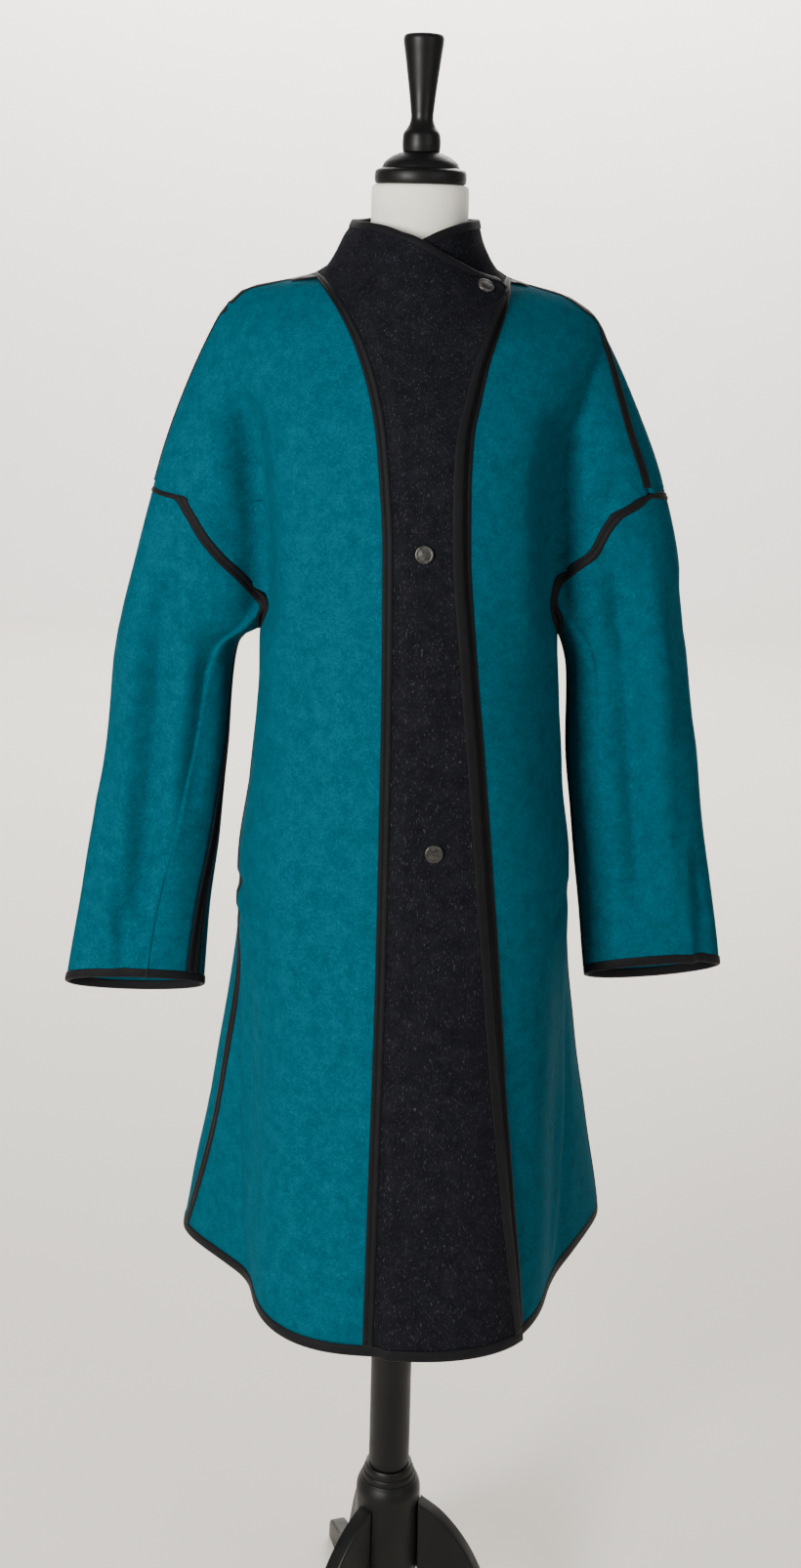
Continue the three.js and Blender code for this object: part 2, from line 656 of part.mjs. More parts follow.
const SEAM_FADE = 50; // the sleeve takes its own section over this length
const SEAM_CROWN = 0.2; // the underarm seam's rise over the straight line between its cloths
function sleeveGrid(side, stops) {
  const loop = stops.map((stop) => stop.p);
  const { twist, cuff } = SIDES[side];
  const columns = loop.map((start, j) => {
    const arm = read(armTable(side), start.z);
    const middle = (arm.outer + arm.inner) / 2;
    const half = (arm.outer - arm.inner) / 2;
    const first = Math.atan2(start.y / arm.depth, (Math.abs(start.x) - middle) / half) / RADIANS;
    const beside = j === 0 ? 1 : j === loop.length - 1 ? -1 : 0;
    const angleAt = (z) => {
      if (beside === 0) return first;
      return -180 * beside + (beside * MARGIN) / read(armTable(side), z).depth / RADIANS;
    };
    const offset = start.clone().sub(tube(side, angleAt(start.z), start.z));
    const foot = tube(side, angleAt(CUFF_Z) + twist, CUFF_Z);
    const end = cuff(Math.abs(foot.x), foot.y);
    const path = [];
    for (let k = 0; k <= PATH_STEPS; k += 1) {
      const t = k / PATH_STEPS;
      const z = lerp(start.z, end, t);
      const p = tube(side, angleAt(z) + twist * smooth(t), z);
      path.push(p.addScaledVector(offset, Math.exp((z - start.z) / SEAM_FADE)));
    }
    return path;
  });
  const rows = Array.from({ length: SLEEVE_ROWS + 1 }, () => []);
  const ends = [];
  columns.forEach((path, j) => {
    const along = loop[Math.min(j + 1, loop.length - 1)].clone().sub(loop[Math.max(j - 1, 0)]).normalize();
    const trim = trimFor(path[0], path[3], along);
    const points = evenly(path, SLEEVE_ROWS, trim, EDGE_MARGIN);
    points.forEach((p, i) => rows[i].push(p));
    ends.push(points.tail);
  });
  const centre = (p) => {
    const arm = read(armTable(side), p.z);
    return vec((SIDES[side].sign * (arm.outer + arm.inner)) / 2, 0, p.z);
  };
  return { rows, ends, grid: spots(rows, centre) };
}

// ---- The coat -------------------------------------------------------------------------------
const COLOURS = {
  teal: { color: 0x00707a, roughness: 0.92, metalness: 0 },
  charcoal: { color: 0x2c2c33, roughness: 0.95, metalness: 0 },
  binding: { color: 0x0d0e14, roughness: 0.75, metalness: 0 },
  snap: { color: 0x77766f, roughness: 0.38, metalness: 0.9 },
  cream: { color: 0xddd8cc, roughness: 0.85, metalness: 0 },
  black: { color: 0x111111, roughness: 0.4, metalness: 0 },
};

function part(name, geometry, colour) {
  const mesh = new THREE.Mesh(geometry, new THREE.MeshStandardMaterial(COLOURS[colour]));
  mesh.name = name;
  return mesh;
}

const reversed = (row) => row.toReversed();
const wearer = { left: "right", right: "left" }; // the viewer's left is the wearer's right

function coat() {
  const group = new THREE.Group();
  const add = (name, geometry, colour) => group.add(part(name, geometry, colour));
  const back = backGrid();
  const fronts = { left: frontGrid("left"), right: frontGrid("right") };
  add("back", wall(back.grid, 0, CLOTH), "teal");
  const hem = {};
  for (const side of ["left", "right"]) {
    const front = fronts[side];
    const name = wearer[side];
    const backRows = back.grid.map((row) => (side === "left" ? row : reversed(row)));
    const backStations = back[side];
    add(`front_${name}`, wall(front.grid, 0, CLOTH), "teal");

    // Overarm seam, side seam and the loop of the sleeve seam.
    const beside = front.stations.map((station, i) => {
      return [last(front.grid[i]), shellPoint(station), backRows[i][0]];
    });
    const overarm = beside.slice(0, OVERARM_ROWS.length + 1);
    const sideSeam = beside.slice(-SIDE_ROWS.length - 2);
    add(`binding_overarm_${name}`, seamBinding(overarm), "binding");
    add(`binding_side_${name}`, seamBinding(sideSeam), "binding");
    const upperRows = (list) => list.slice(OVERARM_ROWS.length, list.length - SIDE_ROWS.length - 1);
    const frontEdge = upperRows(front.grid).map((row) => last(row));
    const backEdge = upperRows(backRows).map((row) => row[0]);
    const loop = sleeveLoop(side, front.stations, backStations, [frontEdge, backEdge]);
    const sleeve = sleeveGrid(side, loop);
    add(`sleeve_${name}`, wall(sleeve.grid, 0, CLOTH), "teal");
    const armhole = loop.map(({ p, edge }, j) => [edge, p, sleeve.grid[0][j]]);
    add(`binding_sleeve_${name}`, seamBinding(armhole, true), "binding");

    // Underarm seam and cuff.
    const inner = sleeve.grid.map((row) => {
      const [a, b] = [row[0], last(row)];
      return [a, between(a.p, b.p, 0.5).addScaledVector(a.n.clone().add(b.n).normalize(), SEAM_CROWN), b];
    });
    add(`binding_underarm_${name}`, seamBinding(inner), "binding");
    const cuffRow = last(sleeve.grid);
    const cuffs = cuffRow.map((s, j) => [s, sleeve.ends[j]]);
    const seamEnd = last(inner);
    const joined = spot(seamEnd[1], seamSpot(seamEnd[1], seamEnd[0], seamEnd[2]).n);
    cuffs.push([joined, between(sleeve.ends[0], last(sleeve.ends), 0.5)]);
    add(`binding_cuff_${name}`, edgeBinding(cuffs, true), "binding");

    // Band with its half of the collar, its seam and its free edge.
    const band = bandGrid(side, front);
    add(`band_${name}`, wall(band.grid, 0, CLOTH), "charcoal");
    const neckRow = backRows[0].slice(0, BACK_HALF + 1).toReversed();
    const [frontEnd, shoulder, backEnd] = overarm[0];
    const panelEdge = [...neckRow, seamSpot(shoulder, frontEnd, backEnd), last(front.grid[0])];
    panelEdge.push(...front.grid.map((row) => row[0]));
    const bandSeam = band.grid.map((row, k) => [panelEdge[k], band.rows[k].head, row[0]]);
    add(`binding_band_${name}`, seamBinding(bandSeam), "binding");
    const freeEdge = band.grid.map((row, k) => [last(row), band.rows[k].tail]);
    add(`binding_edge_${name}`, edgeBinding(freeEdge), "binding");
    hem[side] = { freeEdge, band, bandSeam, front, sideSeam };
  }
  group.add(snaps(hem.left.band));

  // The hem, from the upper band's corner round the coat to the lower band's corner.
  const pair = (list, pick) => [pick(last(list)), pick(list[list.length - 2])];
  const column = (grid, j) => pair(grid, (row) => row[j]);
  const span = (grid) => last(grid).map((_, j) => column(grid, j));
  const middle = (stations) => pair(stations, ([a, p, b]) => seamSpot(p, a, b));
  const tip = (stations) => pair(stations, ([a, p]) => spot(p, a.n));
  const half = (side) => [
    tip(hem[side].freeEdge),
    ...span(hem[side].band.grid).toReversed(),
    middle(hem[side].bandSeam),
    ...span(hem[side].front.grid),
    middle(hem[side].sideSeam),
  ];
  const chain = [...half("left"), ...span(back.grid), ...half("right").toReversed()];
  const hemStations = chain.map(([low, high]) => {
    const fall = low.p.clone().sub(high.p);
    return [low, low.p.clone().addScaledVector(fall, (HEM_Z - low.p.z) / fall.z)];
  });
  add("binding_hem", edgeBinding(hemStations), "binding");
  return group;
}

// ---- Snaps ----------------------------------------------------------------------------------
const SNAPS = [
  { name: "snap_collar", x: 64, z: 1521 },
  { name: "snap_chest", x: 11, z: 1270 },
  { name: "snap_hip", x: 27, z: 980 },
];
const SNAP_REACH = 15; // the cloth this near to a snap's middle lies below the snap
const SNAP_SEAT = 0.3;

// Each snap faces the mean way of the cloth around it and lies just above its flat faces.
function snaps(band) {
  const group = new THREE.Group();
  const profile = [
    [0, 0],
    [SNAP_RADIUS - 0.6, 0],
    [SNAP_RADIUS, 0.6],
    [SNAP_RADIUS, 1.3],
    [SNAP_RADIUS - 1, SNAP_HEIGHT - 0.2],
    [0, SNAP_HEIGHT],
  ];
  for (const { name, x, z } of SNAPS) {
    const p = lifted(turnAt(x, z), z);
    const near = band.grid.flat().filter((s) => s.p.distanceTo(p) < SNAP_REACH);
    const out = near.reduce((sum, s) => sum.add(s.n), vec(0, 0, 0)).normalize();
    const rise = Math.max(...near.map((s) => s.p.clone().sub(p).dot(out)));
    const mesh = part(name, turned(profile, 16), "snap");
    mesh.quaternion.setFromUnitVectors(vec(0, 0, 1), out);
    mesh.position.copy(p).addScaledVector(out, rise + SNAP_SEAT);
    group.add(mesh);
  }
  return group;
}

// ---- Dress form and stand -------------------------------------------------------------------
// The form's plan section at each height: half-widths, depths and the power of its curve.
const FORM = [
  { z: 1625.5, left: 46, right: 46, front: 46, back: 46, power: 2 },
  { z: 1624, left: 49, right: 49, front: 49, back: 49, power: 2 },
  { z: 1620, left: 50, right: 50, front: 50, back: 50, power: 2 },
  { z: 1572, left: 50, right: 50, front: 50, back: 50, power: 2 },
  { z: 1553, left: 54, right: 53, front: 54, back: 53, power: 2 },
  { z: 1540, left: 68, right: 63, front: 66, back: 60, power: 1.7 },
  { z: 1527, left: 104, right: 91, front: 84, back: 70, power: 1.35 },
  { z: 1517, left: 153, right: 131, front: 88, back: 78, power: 1.25 },
  { z: 1510, left: 174, right: 151, front: 90, back: 82, power: 1.25 },
  { z: 1490, left: 191, right: 177, front: 96, back: 91, power: 1.4 },
  { z: 1465, left: 192, right: 180, front: 101, back: 98, power: 1.65 },
  { z: 1430, left: 180, right: 172, front: 108, back: 104, power: 1.95 },
  { z: 1390, left: 162, right: 158, front: 116, back: 106, power: 2.1 },
  { z: 1320, left: 146, right: 146, front: 122, back: 104, power: 2.1 },
  { z: 1240, left: 132, right: 132, front: 112, back: 94, power: 2.1 },
  { z: 1160, left: 122, right: 122, front: 100, back: 88, power: 2.1 },
  { z: 1080, left: 132, right: 132, front: 104, back: 100, power: 2.1 },
  { z: 990, left: 148, right: 148, front: 112, back: 114, power: 2.1 },
  { z: 910, left: 150, right: 150, front: 112, back: 114, power: 2.1 },
  { z: 878, left: 146, right: 146, front: 108, back: 110, power: 2.1 },
  { z: 870, left: 136, right: 136, front: 98, back: 100, power: 2.1 },
];
const FORM_SIDES = 32;
const FORM_STEP = 36;

// Turned profiles, as radius and height.
const CAP = [
  [0, 1625.9],
  [44, 1625.9],
  [47, 1628],
  [47, 1638],
  [44, 1641],
  [40, 1642],
  [39, 1646],
  [34.5, 1650],
  [30, 1654],
  [22, 1658],
  [0, 1658],
];
const FINIAL = [
  [0, 1658.3],
  [19, 1658.3],
  [19.6, 1665],
  [19.4, 1672],
  [18.4, 1678],
  [14.5, 1684],
  [12, 1690],
  [11.5, 1696],
  [12.2, 1703],
  [14, 1720],
  [16.3, 1738],
  [18.7, 1756],
  [20.6, 1772],
  [19.6, 1776],
  [14, 1778],
  [0, 1778.5],
];
const HUB = [
  [0, 118],
  [32, 118],
  [35, 121],
  [35, 207],
  [33.5, 214],
  [30, 220],
  [29.4, 223],
  [28.4, 223.4],
  [27.6, 229],
  [26.4, 229.4],
  [24.6, 236],
  [0, 236],
];
// A leg's outline from the hub to its foot, as distance from the axis and height.
const LEG_OUTER = [
  [35.3, 197],
  [58, 184],
  [78, 165],
  [94, 143],
  [107, 117],
  [118, 89],
  [130, 66],
  [147, 47],
  [168, 35],
  [192, 28],
  [203, 23],
  [207, 15],
  [207, 0],
];
const LEG_INNER = [
  [168, 0],
  [143, 7],
  [115, 26],
  [90, 52],
  [70, 82],
  [52, 105],
  [35.3, 122],
];
const ROUND_SIDES = 24;

// A closed body of revolution about the z axis.
function turned(profile, sides) {
  const positions = [0, 0, profile[0][1], 0, 0, last(profile)[1]];
  const rings = profile.slice(1, -1);
  const faces = [];
  const at = (i, k) => 2 + i * sides + (k % sides);
  for (const [radius, z] of rings) {
    for (let k = 0; k < sides; k += 1) {
      const angle = (k / sides) * 2 * Math.PI;
      positions.push(radius * Math.cos(angle), radius * Math.sin(angle), z);
    }
  }
  for (let k = 0; k < sides; k += 1) {
    faces.push(0, at(0, k + 1), at(0, k), 1, at(rings.length - 1, k), at(rings.length - 1, k + 1));
    for (let i = 0; i < rings.length - 1; i += 1) {
      faces.push(at(i, k), at(i, k + 1), at(i + 1, k), at(i + 1, k), at(i, k + 1), at(i + 1, k + 1));
    }
  }
  return solid(positions, faces);
}

// The form: rings of the table's sections, closed at the neck and the hip.
function formBody() {
  const heights = [];
  for (let i = 0; i < FORM.length - 1; i += 1) {
    const steps = Math.max(1, Math.round((FORM[i].z - FORM[i + 1].z) / FORM_STEP));
    for (let k = 0; k < steps; k += 1) heights.push(lerp(FORM[i].z, FORM[i + 1].z, k / steps));
  }
  heights.push(last(FORM).z);
  const positions = [0, 0, heights[0], 0, 0, last(heights)];
  const faces = [];
  const at = (i, k) => 2 + i * FORM_SIDES + (k % FORM_SIDES);
  for (const z of heights) {
    const section = read(FORM, z);
    for (let k = 0; k < FORM_SIDES; k += 1) {
      const angle = (k / FORM_SIDES) * 2 * Math.PI;
      const [sine, cosine] = [Math.sin(angle), Math.cos(angle)];
      const round = (value, size) => size * Math.sign(value) * Math.abs(value) ** (2 / section.power);
      const x = round(sine, sine < 0 ? section.left : section.right);
      const y = round(-cosine, cosine > 0 ? section.front : section.back);
      positions.push(x, y, z);
    }
  }
  const low = heights.length - 1;
  for (let k = 0; k < FORM_SIDES; k += 1) {
    faces.push(0, at(0, k), at(0, k + 1), 1, at(low, k + 1), at(low, k));
    for (let i = 0; i < low; i += 1) {
      faces.push(at(i, k), at(i + 1, k), at(i, k + 1), at(i, k + 1), at(i + 1, k), at(i + 1, k + 1));
    }
  }
  return solid(positions, faces);
}

function leg(index) {
  const outline = new THREE.Shape();
  outline.moveTo(...LEG_OUTER[0]);
  const curve = (points) => points.slice(1).map((point) => new THREE.Vector2(...point));
  outline.splineThru(curve(LEG_OUTER).slice(0, -2));
  outline.lineTo(...LEG_OUTER[LEG_OUTER.length - 2]);
  outline.lineTo(...last(LEG_OUTER));
  outline.lineTo(...LEG_INNER[0]);
  outline.splineThru(curve(LEG_INNER));
  const board = new THREE.ExtrudeGeometry(outline, {
    depth: LEG_WIDTH,
    bevelEnabled: false,
    curveSegments: 2,
  });
  board.translate(0, 0, -LEG_WIDTH / 2);
  board.rotateX(Math.PI / 2);
  const mesh = part(`leg_${index + 1}`, board, "black");
  mesh.rotation.z = (LEG_TURN + (index * 360) / LEGS) * RADIANS;
  return mesh;
}

function dressForm() {
  const group = new THREE.Group();
  group.add(part("form_body", formBody(), "cream"));
  group.add(part("form_cap", turned(CAP, ROUND_SIDES), "black"));
  group.add(part("form_finial", turned(FINIAL, ROUND_SIDES), "black"));
  group.add(part("stand_hub", turned(HUB, ROUND_SIDES), "black"));
  const low = last(HUB)[1] + SEAT_GAP;
  const high = last(FORM).z - SEAT_GAP;
  const pole = [
    [0, low],
    [POLE_RADIUS, low],
    [POLE_RADIUS, high],
    [0, high],
  ];
  group.add(part("stand_pole", turned(pole, ROUND_SIDES), "black"));
  for (let index = 0; index < LEGS; index += 1) group.add(leg(index));
  return group;
}

const model = new THREE.Group();
model.add(coat(), dressForm());
// The origin is on the floor, under the middle of the whole.
const box = new THREE.Box3().setFromObject(model, true);
model.position.set(-(box.min.x + box.max.x) / 2, -(box.min.y + box.max.y) / 2, 0);
export default model;
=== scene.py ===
"""The looks of a wool coat on a dress form: fine cloth shells, bindings, snaps, form and stand."""

import math

import bpy
import numpy as np
from mathutils import Matrix, Vector


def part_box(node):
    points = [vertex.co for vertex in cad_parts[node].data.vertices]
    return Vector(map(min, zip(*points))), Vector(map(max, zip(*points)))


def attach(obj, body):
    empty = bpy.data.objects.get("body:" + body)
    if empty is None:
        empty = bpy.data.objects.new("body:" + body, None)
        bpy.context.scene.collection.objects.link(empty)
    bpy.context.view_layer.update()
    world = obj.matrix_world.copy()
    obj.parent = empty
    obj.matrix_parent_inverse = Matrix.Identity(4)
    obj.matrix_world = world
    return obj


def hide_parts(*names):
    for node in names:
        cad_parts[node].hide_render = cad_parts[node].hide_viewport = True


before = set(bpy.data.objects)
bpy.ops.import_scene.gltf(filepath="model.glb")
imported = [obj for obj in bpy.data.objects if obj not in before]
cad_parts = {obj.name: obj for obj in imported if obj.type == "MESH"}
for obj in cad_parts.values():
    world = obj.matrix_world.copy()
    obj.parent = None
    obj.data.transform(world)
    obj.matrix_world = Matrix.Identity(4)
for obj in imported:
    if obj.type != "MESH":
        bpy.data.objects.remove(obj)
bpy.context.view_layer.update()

# ---- Tables in millimetres from the form's axis, the same values as the solids' ------------------
CLOTH = 2.4
BINDING = 5.15
EDGE_BINDING = 10.15
HEM_Z = 485.0
UNDERARM_Z = 1166.0
NECK_Z = 1532.0
BACK_NECK_Z = 1545.0
BACK_COLLAR_Z = 1594.0
UNDERLAP = 6.2
UNDERLAP_INSET = 38.0
LIFT_START = 30.0
LIFT_RUN = 12.0
SEAM_ROOM = 2.0  # what a sleeve seam's points keep from its ends, beyond the binding
MOST_TRIM = 11.0  # the most that a row's end stays from a seam
LEAST_SLANT = 0.05
RADIANS = math.pi / 180


def table(*rows):
    return np.array(rows, float)


# z, left, right, front, back, power
BODY = table(
    (1600, 66, 61, 70, 60, 2.0),
    (1588, 68, 62, 74, 60, 2.0),
    (1573, 77, 65, 80, 62, 1.9),
    (1555, 86, 73, 86, 66, 1.7),
    (1540, 96, 83, 91, 72, 1.5),
    (1531, 110, 96, 94, 78, 1.35),
    (1521, 159, 135, 96, 84, 1.25),
    (1514, 181, 156, 98, 88, 1.25),
    (1494, 200, 183, 103, 98, 1.4),
    (1474, 205, 191, 108, 106, 1.65),
    (1440, 196, 182, 118, 116, 1.95),
    (1400, 178, 168, 131, 124, 2.2),
    (1340, 162, 157, 147, 130, 2.3),
    (1250, 157, 155, 159, 132, 2.3),
    (1166, 154, 154, 165, 130, 2.3),
    (1083, 158, 158, 165, 130, 2.3),
    (1000, 165, 164, 167, 134, 2.3),
    (925, 170, 170, 171, 140, 2.3),
    (850, 164, 166, 176, 146, 2.3),
    (760, 156, 162, 184, 154, 2.5),
    (640, 153, 160, 194, 164, 2.8),
    (485, 152, 160, 204, 178, 3.0),
)
# z, left out, right out, left back, right back, spread
FLARE = table(
    (1000, 0, 0, 0, 0, 22),
    (925, 4, 4, 3, 6, 18),
    (850, 12, 9, 8, 20, 13),
    (760, 30, 22, 16, 40, 10),
    (640, 52, 43, 27, 64, 8),
    (485, 80, 69, 42, 92, 7),
)
# z, outer, inner, depth
ARMS = {
    "left": table(
        (1514, 181, 120, 8),
        (1494, 200, 118, 18),
        (1474, 211, 118, 28),
        (1434, 229, 118, 42),
        (1393, 244, 120, 50),
        (1332, 264, 120, 55),
        (1250, 285, 120, 57),
        (1205, 295, 125, 57),
        (1182, 300, 140, 56),
        (1166, 303, 154, 56),
        (1157, 305, 170, 56),
        (1145, 307, 179, 55),
        (1120, 311, 183, 52),
        (1041, 317, 187, 46),
        (957, 329, 194, 42),
        (850, 346, 205, 36),
        (740, 363, 212, 30),
    ),
    "right": table(
        (1514, 156, 110, 6),
        (1494, 183, 112, 15),
        (1474, 195, 114, 25),
        (1434, 216, 115, 40),
        (1393, 234, 118, 48),
        (1332, 257, 118, 54),
        (1250, 277, 118, 57),
        (1205, 284, 125, 57),
        (1182, 287, 140, 56),
        (1166, 289, 154, 56),
        (1150, 292, 161, 54),
        (1125, 295, 166, 51),
        (1041, 305, 169, 45),
        (957, 316, 177, 42),
        (850, 333, 190, 37),
        (740, 346, 202, 31),
    ),
}
# z, right front's band seam, upper band's free edge, left front's band seam
FRONT_LINES = table(
    (1531, -104, 90, 92),
    (1521, -92, 86, 90),
    (1500, -76, 80, 84),
    (1476, -62, 71, 75),
    (1448, -50, 62, 66),
    (1416, -40, 55, 59),
    (1380, -33, 48, 52),
    (1333, -28, 46, 50),
    (1277, -24, 47, 51),
    (1165, -22, 56, 60),
    (1034, -21, 69, 74),
    (865, -21, 84, 90),
    (675, -23, 102, 107),
    (485, -25, 124, 127),
)
OVERLAP_TOP = table((-60, 1588), (-29, 1582), (5, 1567), (29, 1552), (54, 1539), (74, 1530), (86, 1521))
UNDERLAP_TOP = table((50, 1590), (26, 1582), (5, 1572), (-18, 1558), (-34, 1541), (-42, 1521), (-38, 1500))
# z at the outer seam, z at the band seam, z at centre back
ROW_RUN = table(
    (1529, 1530, 1540),
    (1526, 1521, 1531),
    (1519, 1503, 1519),
    (1505, 1480, 1503),
    (1484, 1460, 1484),
    (1454, 1436, 1456),
    (1415, 1405, 1419),
    (1376, 1372, 1382),
    (1342, 1346, 1351),
    (1316, 1325, 1330),
    (1305, 1306, 1311),
    (1285, 1285, 1287),
    (1250, 1250, 1250),
    (1166, 1166, 1166),
)
# z, turn of the left and of the right overarm and side seams
OVERARM = table(
    (1531, 270, 90), (1500, 270, 88), (1462, 270, 76), (1415, 270, 69), (1367, 270, 66.5), (1309, 270, 67)
)
SIDE_SEAM = table(
    (1166, 270, 90), (1000, 270.5, 90), (900, 275, 90), (760, 275.5, 90), (640, 274, 90), (485, 271.5, 90)
)
# x, z; the left sleeve's seam runs alike in front and behind
LEFT_SLEEVE = table(
    (-243, 1306), (-229, 1290), (-212, 1264), (-193, 1242), (-175, 1225), (-159, 1206), (-152, 1188),
    (-153, 1175)
)
SLEEVE_SEAMS = {
    "left": {"front": LEFT_SLEEVE, "back": LEFT_SLEEVE},
    "right": {
        "front": table(
            (229, 1308), (212, 1299), (198, 1283), (184, 1257), (166, 1241), (154, 1226), (151, 1190),
            (153, 1176)
        ),
        "back": table(
            (260, 1307), (243, 1300), (222, 1289), (200, 1268), (180, 1247), (160, 1226), (151, 1195),
            (153, 1176)
        ),
    },
}
TOPS = {"left": (270.0, 1309.0), "right": (67.0, 1318.0)}
TWIST = {"left": 31.0, "right": 0.0}
SIGN = {"left": -1.0, "right": 1.0}
CUFF_Z = 780.0
CUFF = {"left": lambda x, y: 771 - 0.6 * y, "right": lambda x, y: 799 + 0.1 * (x - 270) - 0.6 * y}
SIDE_COLLAR_Z = {"left": 1589.0, "right": 1592.0}
OVERARM_ROWS = (1528.5, 1525.5, 1519, 1505, 1484, 1454, 1415, 1376, 1342)
SIDE_ROWS = (1128, 1083, 1030, 975, 925, 875, 820, 760, 690, 610, 545)
BAND_EDGE_ROWS = (1485, 1443, 1405, 1365, 1330)
BACK_HALF = 9
WEARER = {"left": "right", "right": "left"}

low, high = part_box("stand_pole")
AXIS = (np.array(low) + np.array(high)) / 2
AXIS[2] = 0


# ---- The shell ---------------------------------------------------------------------------------
def monotone(values, rise, i, t, step):
    """A cubic that never overshoots, at share t of the step from value i; rise is each step's slope."""
    a, b = rise[:-1], rise[1:]
    same = a * b > 0
    tilt = np.where(same, 2 * a * b / np.where(same, a + b, 1), 0)
    tilt = np.vstack([rise[:1], tilt, rise[-1:]])
    return (
        values[i] * (1 + 2 * t) * (1 - t) ** 2
        + values[i + 1] * t * t * (3 - 2 * t)
        + step * (tilt[i] * t * (1 - t) ** 2 - tilt[i + 1] * t * t * (1 - t))
    )


def read(rows, z):
    """Every column of a table at heights z, by a monotone cubic between its rows."""
    z = np.atleast_1d(np.asarray(z, float))
    zs, values = rows[:, 0], rows[:, 1:]
    rise = np.diff(values, axis=0) / np.diff(zs)[:, None]
    i = np.clip(np.searchsorted(-zs, -z, side="left") - 1, 0, len(zs) - 2)
    step = (zs[i + 1] - zs[i])[:, None]
    return monotone(values, rise, i, np.clip((z - zs[i])[:, None] / step, 0, 1), step)


def lobe(t, power):
    """A section's depth from its middle (0) to its end (1)."""
    return np.maximum(1 - np.clip(t, 0, 1) ** power, 0) ** (1 / power)


def shell(turn, z):
    """The coat's outer face. turn is in degrees: 0 the front, 90 the right, 180 the back."""
    turn, z = np.broadcast_arrays(np.asarray(turn, float), np.asarray(z, float))
    shape = turn.shape
    turn, z = turn.ravel(), z.ravel()
    sine, cosine = np.sin(turn * RADIANS), np.cos(turn * RADIANS)
    left, back = sine < 0, cosine < 0
    body = read(BODY, z)
    half = np.where(left, body[:, 0], body[:, 1])
    arm = np.where(left[:, None], read(ARMS["left"], z), read(ARMS["right"], z))
    shoulder = np.where(left, ARMS["left"][0, 0], ARMS["right"][0, 0])
    has_arm = (z > UNDERARM_Z) & (z < shoulder)
    x = np.where(has_arm, arm[:, 0], half) * np.abs(sine)
    chest = np.where(back, body[:, 3], body[:, 2]) * lobe(x / half, body[:, 4])
    middle, width = (arm[:, 0] + arm[:, 1]) / 2, (arm[:, 0] - arm[:, 1]) / 2
    upper_arm = np.where(has_arm, arm[:, 2] * lobe(np.abs(x - middle) / width, 2.0), 0)
    y = np.cbrt(chest**3 + upper_arm**3) * np.where(back, 1, -1)
    flare = read(FLARE, z)
    angle = np.arccos(np.minimum(np.abs(sine), 1)) / RADIANS
    near = np.where(z < FLARE[0, 0], np.exp(-((angle / flare[:, 4]) ** 2)), 0)
    x = x + np.where(left, flare[:, 0], flare[:, 1]) * near
    y = y + np.where(left, flare[:, 2], flare[:, 3]) * near
    return np.stack([np.where(left, -x, x), y, z], -1).reshape(*shape, 3)


def turn_at(x, z, back=False):
    """The turn of the shell's point at x and z, in front or behind."""
    x, z = np.broadcast_arrays(np.asarray(x, float), np.asarray(z, float))
    side = np.where(x < 0, 0, 1)
    body = read(BODY, z)
    arms = np.where(x < 0, read(ARMS["left"], z)[:, 0], read(ARMS["right"], z)[:, 0])
    shoulder = np.where(x < 0, ARMS["left"][0, 0], ARMS["right"][0, 0])
    has_arm = (z > UNDERARM_Z) & (z < shoulder)
    reach = np.where(has_arm, arms, np.where(side == 0, body[:, 0], body[:, 1]))
    angle = np.arcsin(np.clip(np.abs(x) / reach, 0, 1)) / RADIANS
    angle = np.where(back, 180 - angle, angle)
    return np.where(x < 0, -angle, angle)


def underlap_edge(z):
    """The lower band's free edge: its x at heights z."""
    z = np.asarray(z, float)
    top = UNDERLAP_TOP[:, ::-1]
    return np.where(z > top[-1, 0], read(top, z.ravel())[:, 0].reshape(z.shape),
                    read(FRONT_LINES, z.ravel())[:, 0].reshape(z.shape) + UNDERLAP_INSET)


def smooth(t):
    t = np.clip(t, 0, 1)
    return t * t * (3 - 2 * t)


def lifted(turn, z):
    """The upper band's face, which stands off the shell where the lower band lies under it."""
    turn, z = np.asarray(turn), np.asarray(z)
    p = shell(turn, z)
    across = shell(turn + 1, z) - shell(turn - 1, z)
    # The arm's outline ends at the underarm, so no difference is taken across that height.
    armed = z > UNDERARM_Z
    above = np.where(armed, z + 2, np.minimum(z + 2, UNDERARM_Z))
    below = np.where(armed, np.maximum(z - 2, UNDERARM_Z + 0.01), z - 2)
    along = shell(turn, above) - shell(turn, below)
    out = unit(np.cross(across, along))
    rise = smooth((p[..., 0] - underlap_edge(p[..., 2]) + LIFT_START) / LIFT_RUN)
    rise = np.where(p[..., 1] > 0, 0, rise)
    return p + out * (UNDERLAP * rise)[..., None]


def unit(v):
    return v / np.maximum(np.linalg.norm(v, axis=-1, keepdims=True), 1e-9)


